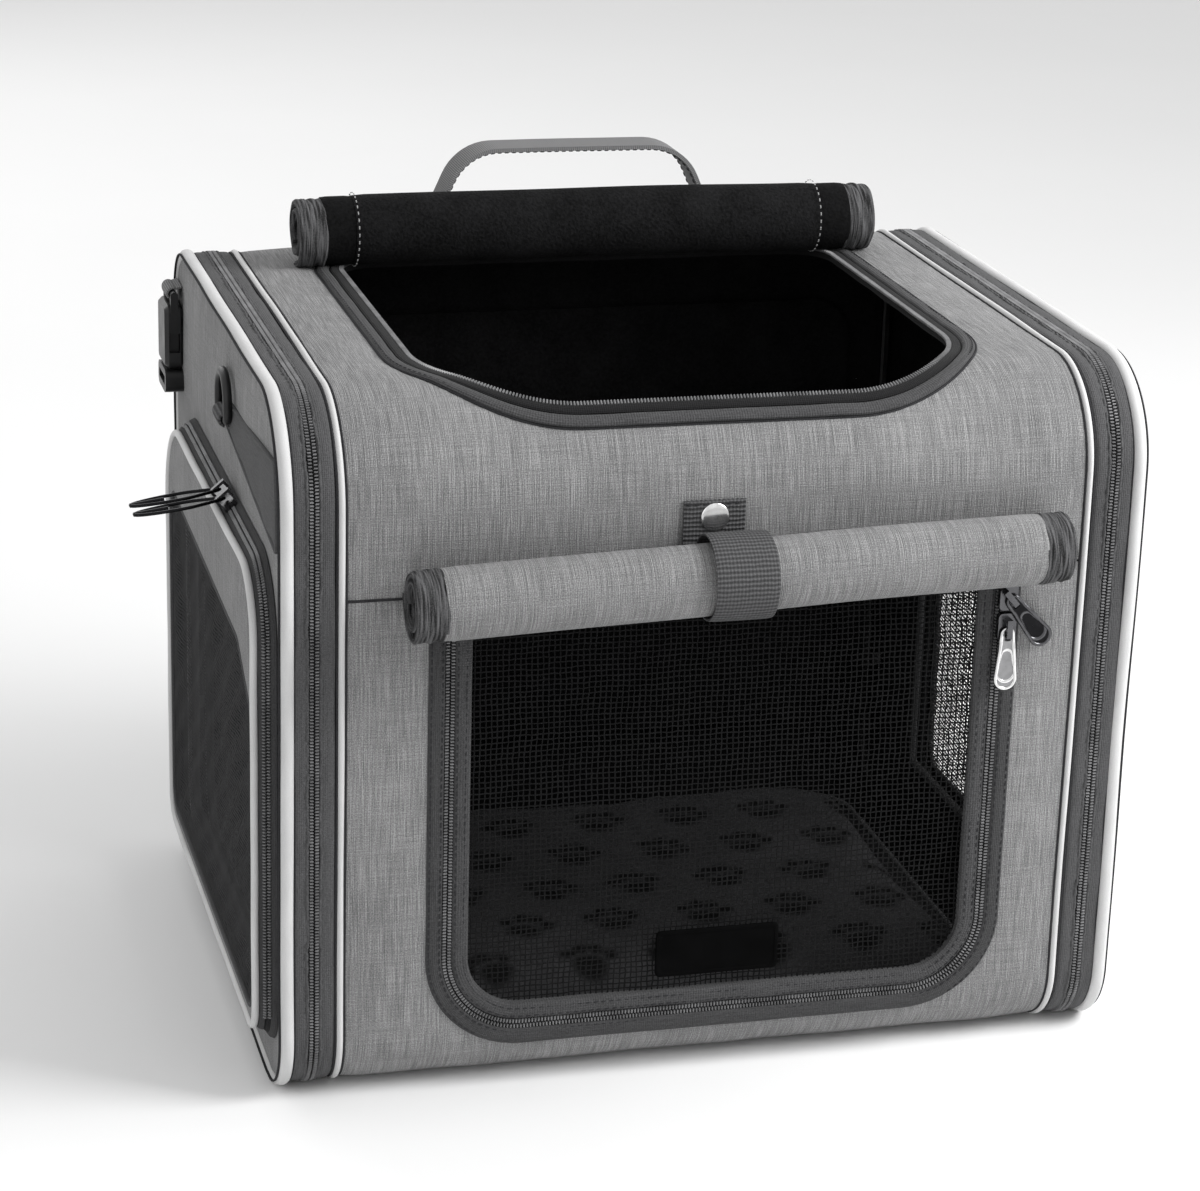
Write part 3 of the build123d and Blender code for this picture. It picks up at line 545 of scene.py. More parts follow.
def lay_out_skin():
    """Side outline of the basket: distances round it from the front foot up, places and outward normals."""
    front_foot, front_top, back_top, back_foot = CORNERS.values()
    centres = [(FRONT + front_foot, front_foot, front_foot), (FRONT + front_top, TOP - front_top, front_top),
               (BACK - back_top, TOP - back_top, back_top), (BACK - back_foot, back_foot, back_foot)]
    places, normals = [], []
    for k, (y, z, radius) in enumerate(centres):
        turn = np.radians(np.linspace(270 - 90 * k, 180 - 90 * k, 46))
        normal = np.column_stack([np.cos(turn), np.sin(turn)])
        places.append(np.array([y, z]) + radius * normal)
        normals.append(normal)
    places.append(places[0][:1])
    normals.append(normals[0][:1])
    places, normals = np.vstack(places), np.vstack(normals)
    return lengths(places), places, normals


SKIN_AT, SKIN_PLACE, SKIN_NORMAL = lay_out_skin()
GIRTH = SKIN_AT[-1]


def skin_normal(at):
    """Outward normal of the basket's wall at a distance round it."""
    at = np.mod(np.asarray(at, float), GIRTH)
    normal = [np.interp(at, SKIN_AT, SKIN_NORMAL[:, k]) for k in (0, 1)]
    return np.stack([np.zeros_like(at), *normal], axis=-1)


def skin(x, at, rise=0.0):
    """Place on the basket's wall at x and a distance round it, raised off the wall."""
    at = np.mod(np.asarray(at, float), GIRTH)
    side_view = [np.interp(at, SKIN_AT, SKIN_PLACE[:, k]) for k in (0, 1)]
    place = np.stack([np.broadcast_to(x, at.shape), *side_view], axis=-1)
    return place + np.asarray(rise)[..., None] * skin_normal(at)


FRONT_TOP_AT = CORNERS["front_foot"] * pi / 2 + TOP - CORNERS["front_top"] - CORNERS["front_foot"]
TOP_AT = FRONT_TOP_AT + CORNERS["front_top"] * pi / 2
BACK_TOP_AT = TOP_AT + (BACK - CORNERS["back_top"]) - (FRONT + CORNERS["front_top"])
BACK_SEAM_AT = BACK_TOP_AT + CORNERS["back_top"] * pi / 2 + TOP - CORNERS["back_top"] - SEAM
BASE_AT = GIRTH - (BACK - CORNERS["back_foot"] - FRONT - CORNERS["front_foot"])


def front_at(z):
    """Distance round the wall of a height on the flat front."""
    return CORNERS["front_foot"] * pi / 2 + z - CORNERS["front_foot"]


def top_at(y):
    """Distance round the wall of a depth on the top and its front bend."""
    past = FRONT + CORNERS["front_top"] - y
    if past <= 0:
        return TOP_AT - past
    return TOP_AT - CORNERS["front_top"] * np.arcsin(past / CORNERS["front_top"])


def on_wall(path, closed):
    """Places, directions, outward side and normals of a flat path laid on the wall."""
    centre = skin(path[:, 0], path[:, 1])
    along = headings(centre, closed)
    up = skin_normal(path[:, 1])
    return centre, along, np.cross(along, up), up


def round_wall(x, step):
    """Path once round the wall at x, with an even number of places."""
    count = 2 * round(GIRTH / step / 2)
    return np.column_stack([np.full(count, x), np.arange(count) * GIRTH / count])


def window_path(grown, step=2.0):
    """Edge of the front window, open at the seam, from its top left down and round."""
    x0, x1 = WINDOW_LOW[0] - grown, WINDOW_HIGH[0] + grown
    low, high = front_at(WINDOW_LOW[2] - grown), front_at(SEAM)
    corner = WINDOW_CORNER + grown
    return rounded([(x0, high), (x0, low), (x1, low), (x1, high)], (0, corner, corner, 0), step, False)


def opening_path(grown, step=2.0):
    """Edge of the top opening laid on the wall."""
    front, back = top_at(OPENING_FRONT) - grown, top_at(OPENING_BACK) + grown
    half = OPENING_HALF + grown
    radii = [radius + grown for radius in OPENING_CORNERS]
    return rounded([(-half, front), (half, front), (half, back), (-half, back)], radii, step)


def door_path(side, drawn_in, step=2.0):
    """Outline of a door, drawn in by a distance, as depth and height."""
    low, high = reach(f"{side}_door_gusset")
    (y0, z0), (y1, z1) = low[1:] + drawn_in, high[1:] - drawn_in
    corners = [(y0, z0), (y0, z1), (y1, z1), (y1, z0)]
    return rounded(corners, [radius - drawn_in for radius in DOOR_CORNERS], step)


def node(tree, kind, inputs=(), **settings):
    """Add a node with its settings and inputs, which are values or sockets."""
    made = tree.nodes.new(kind)
    for name, value in settings.items():
        setattr(made, name, value)
    for name, value in dict(inputs).items():
        if isinstance(value, bpy.types.NodeSocket):
            tree.links.new(value, made.inputs[name])
        else:
            made.inputs[name].default_value = value
    return made


def tint(colour, factor):
    """A colour made lighter or darker."""
    return tuple(min(1.0, channel * factor) for channel in colour)


class Finish:
    """New material of a colour, with the nodes that vary its colour and its relief."""

    def __init__(self, name, colour, roughness=0.8, metallic=0.0, sheen=0.0, gloss=0.5, on="UV"):
        self.colour = colour
        self.made = bpy.data.materials.new(name)
        self.made.use_nodes = True
        self.made.diffuse_color = (*colour, 1)
        self.tree = self.made.node_tree
        self.shader = self.tree.nodes["Principled BSDF"]
        self.shader.inputs["Base Color"].default_value = (*colour, 1)
        self.shader.inputs["Roughness"].default_value = roughness
        self.shader.inputs["Metallic"].default_value = metallic
        self.shader.inputs["Sheen Weight"].default_value = sheen
        self.shader.inputs["Specular IOR Level"].default_value = gloss
        self.source = node(self.tree, "ShaderNodeTexCoord").outputs[on]

    def noise(self, scale, detail):
        """Even noise."""
        return node(self.tree, "ShaderNodeTexNoise",
                    {"Vector": self.source, "Scale": scale, "Detail": detail}).outputs[0]

    def threads(self, run, wide, detail=2.0):
        """Streaky noise, with streaks that run a length along U and are a width along V."""
        scale = (1 / run, 1 / wide, 1)
        spread = node(self.tree, "ShaderNodeMapping", {"Vector": self.source, "Scale": scale})
        return node(self.tree, "ShaderNodeTexNoise",
                    {"Vector": spread.outputs[0], "Scale": 1.0, "Detail": detail}).outputs[0]

    def ribs(self, pitch, direction):
        """Even ridges with a pitch, across U or V."""
        return node(self.tree, "ShaderNodeTexWave",
                    {"Vector": self.source, "Scale": RIB_SCALE / pitch, "Distortion": 1.2, "Detail": 1.0,
                     "Detail Scale": 1.5}, bands_direction=direction).outputs[1]

    def mix(self, *terms):
        """Add sockets, each times a factor."""
        total = None
        for socket, factor in terms:
            part = node(self.tree, "ShaderNodeMath", {0: socket, 1: factor}, operation="MULTIPLY").outputs[0]
            if total is not None:
                part = node(self.tree, "ShaderNodeMath", {0: total, 1: part}).outputs[0]
            total = part
        return total

    def ramp(self, source, *stops):
        """Colours through stops of place and value, which is a colour or a factor of the material's own."""
        made = node(self.tree, "ShaderNodeValToRGB", {0: source})
        band = made.color_ramp
        while len(band.elements) < len(stops):
            band.elements.new(0.5)
        for element, (place, value) in zip(band.elements, stops):
            element.position = place
            element.color = (*(tint(self.colour, value) if np.isscalar(value) else value), 1)
        return made.outputs[0]

    def vary(self, source, *stops):
        """Colour the material through the stops of a ramp."""
        self.tree.links.new(self.ramp(source, *stops), self.shader.inputs["Base Color"])

    def wear(self, source, low, high):
        """Let the roughness follow a source, from a low to a high value."""
        worn = node(self.tree, "ShaderNodeMapRange", {0: source, 3: low, 4: high}).outputs[0]
        self.tree.links.new(worn, self.shader.inputs["Roughness"])

    def bump(self, height, distance, strength):
        """Relief of a height, in metres."""
        made = node(self.tree, "ShaderNodeBump",
                    {"Height": height, "Distance": distance, "Strength": strength})
        self.tree.links.new(made.outputs[0], self.shader.inputs["Normal"])


def linen(colour, thread):
    """Light heather cloth with slub threads, most of them upright."""
    new = Finish("linen", colour, roughness=0.92, sheen=0.04, gloss=0.15)
    fine, slub = new.threads(0.00042, 0.016), new.threads(0.00075, 0.045)
    level, speck = new.threads(0.03, 0.0005), new.threads(0.00042, 0.0006, 1.0)
    broad = new.threads(0.06, 0.09)
    heather = new.mix((fine, 0.29), (slub, 0.16), (level, 0.13), (speck, 0.34), (broad, 0.08))
    new.vary(heather, (0.41, 0.6), (0.5, 1), (0.59, thread))
    weave = new.mix((new.ribs(0.0007, "X"), 0.4), (new.ribs(0.0007, "Y"), 0.25), (fine, 1.5), (level, 0.8))
    new.bump(weave, 0.0003, 0.7)
    return new.made


def plain_cloth(name, colour, pitch=0.0008, contrast=0.25, sheen=0.04, depth=0.00022):
    """Dark close-woven cloth with a faint heather."""
    new = Finish(name, colour, roughness=0.9, sheen=sheen, gloss=0.12)
    speck, streak = new.threads(0.0009, 0.0009), new.threads(0.012, 0.0009)
    new.vary(new.mix((speck, 0.6), (streak, 0.4)), (0.33, 1 - contrast), (0.66, 1 + contrast))
    weave = new.mix((new.ribs(pitch, "X"), 0.5), (new.ribs(pitch, "Y"), 0.5), (speck, 0.8))
    new.bump(weave, depth, 0.8)
    return new.made


def ribbed(name, colour, pitch, depth):
    """Webbing with ribs across its length."""
    new = Finish(name, colour, roughness=0.85, gloss=0.15)
    rib, cross = new.ribs(pitch, "X"), new.ribs(pitch * 0.8, "Y")
    speck = new.threads(0.0007, 0.0007)
    new.vary(new.mix((rib, 0.5), (speck, 0.35), (cross, 0.15)), (0.25, 0.6), (0.75, 1.45))
    new.bump(new.mix((rib, 1.0), (cross, 0.35), (speck, 0.35)), depth, 0.8)
    return new.made


def gathered(colour):
    """Thin binding cloth drawn together in irregular folds, painted darker in their hollows and lighter on their
    crests.
    """
    new = Finish("gathered_binding", colour, roughness=0.9, gloss=0.12)
    folds, speck = new.threads(0.0010, 0.014), new.threads(0.0006, 0.0006, 1.0)
    # Colour follows the fold relief: painted shade in the hollows and painted highlight on the crests, with a real
    # fine speck.
    new.vary(new.mix((folds, 0.75), (speck, 0.25)), (0.38, 0.25), (0.5, 1), (0.64, 1.7))
    new.bump(folds, 0.0012, 0.9)
    return new.made


def piping_cloth(colour):
    """Reflective white piping with a fine grain and soft soiling."""
    new = Finish("reflective_piping", colour, roughness=0.6, gloss=0.3)
    grain, soil = new.threads(0.0005, 0.0005, 1.0), new.threads(0.03, 0.01, 3.0)
    new.vary(new.mix((grain, 0.35), (soil, 0.65)), (0.3, 0.86), (0.62, 1.04))
    new.bump(grain, 0.00012, 0.5)
    return new.made


def fleece(name, colour, depth):
    """Short pile of the lining and the top flap."""
    new = Finish(name, colour, roughness=0.97, gloss=0.08, on="Object")
    pile, mat = new.noise(700.0, 4.0), new.noise(60.0, 3.0)
    new.vary(new.mix((pile, 0.6), (mat, 0.4)), (0.35, 0.55), (0.68, 2.0))
    new.bump(new.mix((pile, 0.7), (mat, 0.6)), depth, 0.8)
    return new.made


def moulded(name, colour, rough, grain=900.0, gloss=0.5):
    """Moulded plastic with a fine spark texture and faint scuffs."""
    new = Finish(name, colour, roughness=rough, gloss=gloss, on="Object")
    spark, scuff = new.noise(grain, 3.0), new.noise(90.0, 5.0)
    new.vary(scuff, (0.35, 0.8), (0.72, 1.5))
    new.wear(scuff, rough - 0.08, rough + 0.14)
    new.bump(spark, 0.00006, 0.6)
    return new.made


def metal(name, colour, rough):
    """Plated metal with fine wear."""
    new = Finish(name, colour, roughness=rough, metallic=1.0, on="Object")
    scratch = new.noise(260.0, 6.0)
    new.vary(scratch, (0.3, 0.8), (0.7, 1.1))
    new.wear(scratch, rough * 0.7, rough * 1.8)
    new.bump(scratch, 0.00003, 0.4)
    return new.made


def printed_plush(colour, mark):
    """Short plush with dark printed marks where the mesh says so."""
    new = Finish("printed_plush", colour, roughness=0.96, gloss=0.08, on="Object")
    pile, shade = new.noise(520.0, 4.0), new.noise(26.0, 3.0)
    ground = new.ramp(new.mix((pile, 0.55), (shade, 0.45)), (0.34, 0.72), (0.66, 1.3))
    printed = node(new.tree, "ShaderNodeAttribute", attribute_name="print").outputs["Fac"]
    both = node(new.tree, "ShaderNodeMix", data_type="RGBA")
    new.tree.links.new(printed, both.inputs[0])
    new.tree.links.new(ground, both.inputs[6])
    both.inputs[7].default_value = (*mark, 1)
    new.tree.links.new(both.outputs[2], new.shader.inputs["Base Color"])
    new.bump(new.mix((pile, 0.8), (shade, 0.3)), 0.0009, 0.8)
    return new.made


FINISHES = {}


def finishes():
    """Every material of the basket by name, made once."""
    if FINISHES:
        return FINISHES
    colours = bpy.context.scene.basket_colours
    webbing, gusset = tuple(colours.webbing), tuple(colours.gusset)
    for made in (
        linen(tuple(colours.linen), tuple(colours.linen_thread)),
        plain_cloth("gusset_cloth", gusset),
        plain_cloth("bound_edge", tint(gusset, 0.75), pitch=0.0011, contrast=0.3, depth=0.0003),
        plain_cloth("window_tape", tint(gusset, 0.65), contrast=0.3),
        plain_cloth("zip_tape", tuple(colours.zip_tape), pitch=0.0009),
        plain_cloth("door_gusset_cloth", tint(gusset, 0.6)),
        plain_cloth("net_thread", (0.006, 0.006, 0.0063), contrast=0.4, sheen=0),
        plain_cloth("door_net_thread", (0.028, 0.028, 0.029), contrast=0.35, sheen=0),
        # Dark thread for real stitches, also used for the dark lines that paint shade in the seams.
        plain_cloth("stitch_thread_and_seam_shade", (0.030, 0.030, 0.032), contrast=0.3, sheen=0),
        plain_cloth("pale_thread", (0.30, 0.30, 0.30), contrast=0.2),
        ribbed("ribbed_webbing", webbing, pitch=0.0019, depth=0.0006),
        gathered(tint(webbing, 0.95)),
        ribbed("handle_webbing", tuple(colours.pale_webbing), pitch=0.0009, depth=0.0002),
        piping_cloth(tuple(colours.piping)),
        fleece("lining", tuple(colours.lining), depth=0.0008),
        fleece("flap_fleece", tint(colours.lining, 1.6), depth=0.0016),
        moulded("coil_nylon", (0.13, 0.13, 0.133), rough=0.35),
        moulded("black_acetal", (0.008, 0.008, 0.0085), rough=0.36, gloss=0.35),
        moulded("soft_patch", (0.002, 0.002, 0.0021), rough=0.7, grain=1600.0, gloss=0.02),
        moulded("stiff_board", (0.010, 0.010, 0.0105), rough=0.6, gloss=0.2),
        metal("bright_nickel", (0.72, 0.72, 0.72), rough=0.14),
        metal("worn_nickel", (0.27, 0.27, 0.275), rough=0.3),
        metal("gunmetal", (0.10, 0.10, 0.105), rough=0.2),
        metal("dull_gunmetal", (0.014, 0.014, 0.015), rough=0.2),
        metal("coated_wire", (0.04, 0.04, 0.04), rough=0.35),
        printed_plush(tuple(colours.plush), tuple(colours.print_tint)),
    ):
        FINISHES[made.name] = made
    return FINISHES


def dress(node_name, finish_name):
    """Give a solid that stays its material."""
    solid = frame["nodes"][node_name]
    solid.data.materials.clear()
    solid.data.materials.append(finishes()[finish_name])


class Maker:
    """Operator whose make method makes pieces with the basket's sizes."""

    def execute(self, context):
        self.make(context.scene.basket_sizes)
        return {"FINISHED"}


def panel(name, outline, holes, seed, lining, sizes, finish="linen"):
    """Padded cloth on the wall, with its lining inside it. The base is pressed flat."""
    points, faces, gap = cut_cloth(outline, holes, sizes.cloth_step / MM)
    puff = sizes.puff / MM
    x, at = points[:, 0], points[:, 1]
    full = swell(gap, 16)
    tuck = -0.7 * np.exp(-gap / 2.5)
    crumple = 0.5 * ripple(x, at, 70, seed) + 0.16 * ripple(x * 1.6, at, 24, seed + 1)
    rise = full * (puff + crumple) + tuck
    if name == "base":
        rise = np.minimum(rise - puff * full - 0.4, -0.05)
    places = skin(x, at, rise)
    outward = np.einsum("ij,ij->i", face_ways(places, faces), skin_normal(at[faces].mean(axis=1)))
    faces = turned(faces, outward.mean() > 0)
    cloth = Shape()
    cloth.add_cut(places, points, faces)
    lining.add_cut(skin(x, at, -WALL + 0.6 - 0.3 * full), points, faces[:, ::-1])
    piece(f"{name}_cloth", cloth, [finish], stands_for=[f"{name}_panel"])


class BASKET_OT_wall_cloth(Maker, bpy.types.Operator):
    """Sew the front, top, back and base panels with their lining"""

    bl_idname = "basket.wall_cloth"
    bl_label = "Wall cloth"

    def make(self, sizes):
        lining, seams = Shape(), Shape()
        seam, edge = front_at(SEAM), BAND + 2.2
        window = window_path(BOUND_EDGE + ZIP_WIDTH - 1)
        notch = np.vstack([[(-edge, 0.5), (edge, 0.5), (edge, seam)], window[::-1], [(-edge, seam)]])

        def belt(start, end):
            return np.array([(-edge, start), (edge, start), (edge, end), (-edge, end)])

        panel("front", even(notch, sizes.cloth_step / MM, True), [], 11, lining, sizes)
        panel("top", belt(seam, BACK_SEAM_AT), [opening_path(OPENING_TAPE - 0.8)], 12, lining, sizes)
        panel("back", belt(BACK_SEAM_AT, BASE_AT), [], 13, lining, sizes)
        panel("base", belt(BASE_AT, GIRTH + 0.5), [], 14, lining, sizes, "gusset_cloth")
        piece("lining", lining, ["lining"])
        zip_edge = BOUND_EDGE + ZIP_WIDTH + 2
        left, right = WINDOW_LOW[0] - zip_edge, WINDOW_HIGH[0] + zip_edge
        # Dark lines along the panel seams: painted shade in the seams' grooves.
        for at, start, end in ((seam, -BAND, left), (seam, right, BAND), (BACK_SEAM_AT, -BAND, BAND)):
            x = np.arange(start, end, 3.0)
            level = np.full(len(x), at)
            run = skin_normal(level)
            seam_shade_line(seams, skin(x, level, -0.35), np.cross(run, ACROSS), run, width=1.1)
        piece("wall_seam_shade", seams, ["stitch_thread_and_seam_shade"])


class BASKET_OT_ends(Maker, bpy.types.Operator):
    """Sew the gussets, end panels and hoops of both ends"""

    bl_idname = "basket.ends"
    bl_label = "Ends"

    def make(self, sizes):
        at = np.arange(0, GIRTH - 2, 4.0)
        for name, side in SIDES.items():
            self.gusset(name, side, at)
            self.end_cloth(name, side, at, sizes.cloth_step / MM)
        dress("end_hoops", "coated_wire")

    def gusset(self, name, side, at):
        """Both strips beside the end zip, their gathered edges and the lining band below them."""
        strip = Shape()
        centre, up = skin(np.zeros(len(at)), at), skin_normal(at)
        for k, (start, end) in enumerate(STRIPS):
            first, last = sorted((side * start, side * end))
            hoop(strip, centre, ACROSS, up, slab(first, last, -WALL + 0.4, -0.1, 0.35),
                 relief=lambda u, v: np.minimum(0.22 * sway(u, 46, 30 + k), 0.3))
        first, last = sorted((side * (BAND + 0.5), side * (SIDE_FACE - 0.8)))
        hoop(strip, centre, ACROSS, up, slab(first, last, -WALL + 0.15, -WALL + 0.5), finish=1)
        fold_at = round_wall(0, 0.9)[:, 1]
        for way in (-1, 1):
            line = skin(side * END_ZIP + way * 2.75 + 0.25 * sway(fold_at, 17, 50 + way), fold_at, -0.1)
            hoop(strip, line, ACROSS, skin_normal(fold_at), bead(1.5, 0.75, 0.5, 8),
                 relief=lambda u, v: 0.32 * ripple(u, 0.6 * v, 2.8, 54 + way) - 0.1)
        strip.keep_off_floor()
        piece(f"{name}_gusset_cloth", strip, ["gusset_cloth", "lining"],
              stands_for=[f"{name}_gusset"])

    def end_cloth(self, name, side, at, step):
        """Padded end panel round its doorway, with its lining and the doorway's binding."""
        cloth = Shape()
        door, whole_door = door_path(name, DOOR_LAP), door_path(name, 0)
        points, faces, gap = cut_cloth(skin(0, at, -3.2)[:, 1:], [door], step)
        full = swell(gap, 10) * swell(gap_to(points, [whole_door]), 9)
        crumple = 0.9 + 0.45 * ripple(points[:, 0], points[:, 1], 60, 40 + side)
        bulge = np.where(inside(points, whole_door), 0, full * crumple)
        faces = turned(faces, side > 0)
        cloth.add_cut(at_x(side * (SIDE_FACE - 0.15 + bulge), points), points, faces)
        cloth.add_cut(at_x(side * (SIDE_FACE - WALL + 0.6), points), points, faces[:, ::-1], 1)
        rim = at_x(side * (SIDE_FACE - 2), even(door, 3, True))
        hoop(cloth, rim, np.cross(headings(rim, True), (side, 0, 0)), (side, 0, 0),
             bead(4, 1.6, 1.9), finish=2)
        piece(f"{name}_end_cloth", cloth, ["linen", "lining", "bound_edge"],
              stands_for=[f"{name}_side_panel"])


class BASKET_OT_pipings(Maker, bpy.types.Operator):
    """Sew the white pipings round both ends"""

    bl_idname = "basket.pipings"
    bl_label = "Pipings"

    def make(self, sizes):
        at = np.arange(0, GIRTH - 2, 3.0)
        up = skin_normal(at)
        cord, seam = Shape(), Shape()
        for side in SIDES.values():
            for k, (middle, width, proud) in enumerate(((INNER_PIPING, 2.9, 0.9), (OUTER_PIPING, 5.6, 1.7))):
                seed = 60 + 2 * k + side
                x = side * middle + 0.3 * sway(at, 130, seed)
                centre = skin(x, at, 0.25 * sway(at, 90, seed + 20) - 0.3)
                hoop(cord, centre, ACROSS, up, bead(width, proud + 0.2, 2.4))
                # Dark lines on both sides of each piping: painted shade where the piping meets the cloth.
                for way in (-1, 1):
                    beside = skin(x + way * (width / 2 + 0.45), at, -0.15)
                    seam_shade_line(seam, beside, ACROSS, up, closed=True, width=0.9)
        cord.keep_off_floor()
        piece("white_piping", cord, ["reflective_piping"], stands_for=["piping"])
        seam.keep_off_floor()
        piece("piping_seam_shade", seam, ["stitch_thread_and_seam_shade"])


def zip_on_wall(shape, lay, closed, pitch):
    """Closed zip along a path that lay gives for a step: the tape under it and its two rows of teeth."""
    centre, _, across, up = on_wall(lay(2.5), closed)
    sweep(shape, centre, across, up, slab(-2.4, 2.4, -1.8, -0.2, 0, 5, 0.1), closed=closed, tube=True)
    centre, along, across, up = on_wall(lay(pitch / 2), closed)
    teeth(shape, centre - up * 0.3, along, across, up, 1)


def open_zip_on_wall(shape, path, pitch):
    """Open half of a zip round an opening: its tape, and one row of teeth along the edge."""
    centre, _, across, up = on_wall(even(path, 2.5, True), True)
    hoop(shape, centre, across, up, slab(0.2, 4.6, -1.2, 0.35, 0.3, 7, 0.3))
    centre, along, across, up = on_wall(even(path, pitch, True), True)
    stamp(shape, bar(0.95, 2.0, 1.2, -1.4), BAR_FACES, centre - up * 0.35, along, across, up, 1)


class BASKET_OT_zips(Maker, bpy.types.Operator):
    """Lay the zips round the ends, the front window and the top opening"""

    bl_idname = "basket.zips"
    bl_label = "Zips"

    def make(self, sizes):
        pitch = sizes.tooth_pitch / MM
        zips = Shape()
        for side in SIDES.values():
            zip_on_wall(zips, lambda step: round_wall(side * END_ZIP, step), True, pitch)
        zip_on_wall(zips, lambda step: window_path(BOUND_EDGE + ZIP_WIDTH / 2, step), False, pitch)
        open_zip_on_wall(zips, opening_path(0), pitch)
        zips.keep_off_floor()
        piece("zips", zips, ["zip_tape", "coil_nylon"], stands_for=["zip_coils"])


def tape_on_wall(shape, path, closed, section, seed, finish=0):
    """Flat tape beside a path on the wall."""
    centre, _, across, up = on_wall(even(path, 3, closed), closed)
    sweep(shape, centre, across, up, section, closed=closed, tube=True, finish=finish,
          relief=lambda u, v: 0.16 * sway(u, 34, seed))


def corners_of(grid):
    """The four corners of every cell of a grid, in order round the cell."""
    return [grid[:-1, :-1], grid[1:, :-1], grid[1:, 1:], grid[:-1, 1:]]


def net_cells(shape, outline, place, pitch, thread, seed, spread=0, lap=0):
    """Square net of flat threads, laid out by a place function.

    The net reaches a spread past the outline, and keeps the cells outside it that are within a lap.
    """
    chance = np.random.default_rng(seed)
    low, high = outline.min(axis=0) - spread, outline.max(axis=0) + spread
    gx, gy = np.meshgrid(*(np.arange(low[k], high[k] + pitch, pitch) for k in (0, 1)), indexing="ij")
    wobble = pitch * 0.10
    gx = gx + chance.uniform(-wobble, wobble, gx.shape) + 0.25 * ripple(gx, gy, 40, seed)
    gy = gy + chance.uniform(-wobble, wobble, gy.shape) + 0.25 * ripple(gx, gy, 46, seed + 1)
    knots = np.stack([gx, gy], axis=-1)
    middle = sum(corners_of(knots)) / 4
    inset = 1 - thread / pitch * (1 + chance.uniform(-0.25, 0.25, middle.shape[:2]))[..., None]
    hole = [middle + (corner - middle) * inset for corner in corners_of(knots)]
    spots = middle.reshape(-1, 2)
    wanted = inside(spots, outline)
    if lap:
        wanted |= gap_to(spots, [outline]) < lap
    wanted = wanted.reshape(middle.shape[:2])
    index = np.arange(gx.size).reshape(gx.shape)
    outer = corners_of(index)
    inner = [index.size + k * wanted.size + np.arange(wanted.size).reshape(wanted.shape) for k in range(4)]
    faces = np.concatenate([np.stack([outer[k], outer[k - 3], inner[k - 3], inner[k]], axis=-1)[wanted]
                            for k in range(4)])
    flat = np.vstack([knots.reshape(-1, 2), *(corner.reshape(-1, 2) for corner in hole)])
    used, faces = np.unique(faces, return_inverse=True)
    flat = flat[used]
    shape.add_cut(place(flat), flat, faces.reshape(-1, 4))


class BASKET_OT_front_window(Maker, bpy.types.Operator):
    """Fit the net, bound edge, outer tape and patch of the front window"""

    bl_idname = "basket.front_window"
    bl_label = "Front window"

    def make(self, sizes):
        net, edge, seams = Shape(), Shape(), Shape()
        net_y = (WINDOW_LOW[1] + WINDOW_HIGH[1]) / 2 + 0.9

        def place(flat):
            x, z = flat[:, 0], flat[:, 1]
            return np.column_stack([x, net_y + (0.7 * ripple(x, z, 90, 71) + 0.25 * ripple(x, z, 26, 72)), z])

        outline = window_path(2.5) - (0, front_at(0))
        net_cells(net, outline, place, sizes.net_pitch / MM, sizes.net_thread / MM, 70)
        piece("front_window_net", net, ["net_thread"], stands_for=["front_net"], crease=180)
        path = window_path(0)
        tape_on_wall(edge, path, False, slab(-0.6, BOUND_EDGE - 0.1, -WALL + 0.4, 0.35, 0.35, 9), 81)
        outer, pitch = BOUND_EDGE + ZIP_WIDTH, sizes.stitch_pitch / MM
        tape_on_wall(edge, path, False, slab(outer + 0.1, outer + OUTER_TAPE, -0.5, 0.85, 0.3, 9), 82, 1)
        for offset in (1.6, BOUND_EDGE - 1.3, outer + 1.2, outer + OUTER_TAPE - 1.2):
            centre, _, _, up = on_wall(even(window_path(offset), pitch), False)
            stitches(seams, centre + up * (0.42 if offset < outer else 1.0), up, pitch)
        piece("window_edge", edge, ["bound_edge", "window_tape"],
              stands_for=["front_binding"])
        piece("window_stitches", seams, ["stitch_thread_and_seam_shade"])
        self.patch()

    def patch(self):
        """Bare moulded patch with a raised rim, low on the net."""
        patch = Shape()
        low, high = reach("blank_patch")
        (x0, y0, z0), (x1, y1, z1) = low, high
        outline = rounded([(x0, z0), (x1, z0), (x1, z1), (x0, z1)], (2,) * 4, 1)
        middle, size = outline.mean(axis=0), (high[[0, 2]] - low[[0, 2]]) / 2
        rings = []
        for drawn_in, y in ((0, y1), (0, y0 + 0.3), (0.35, y0), (1.5, y0), (1.8, y0 + 0.3), (2.6, y0 + 0.35)):
            inner = middle + (outline - middle) * (1 - drawn_in / size)
            rings.append(np.column_stack([inner[:, 0], np.full(len(inner), y), inner[:, 1]]))
        lattice(patch, np.array(rings), False, True)
        patch.add(rings[-1], [list(range(len(outline)))], outline * MM)
        piece("window_patch", patch, ["soft_patch"], stands_for=["blank_patch"])


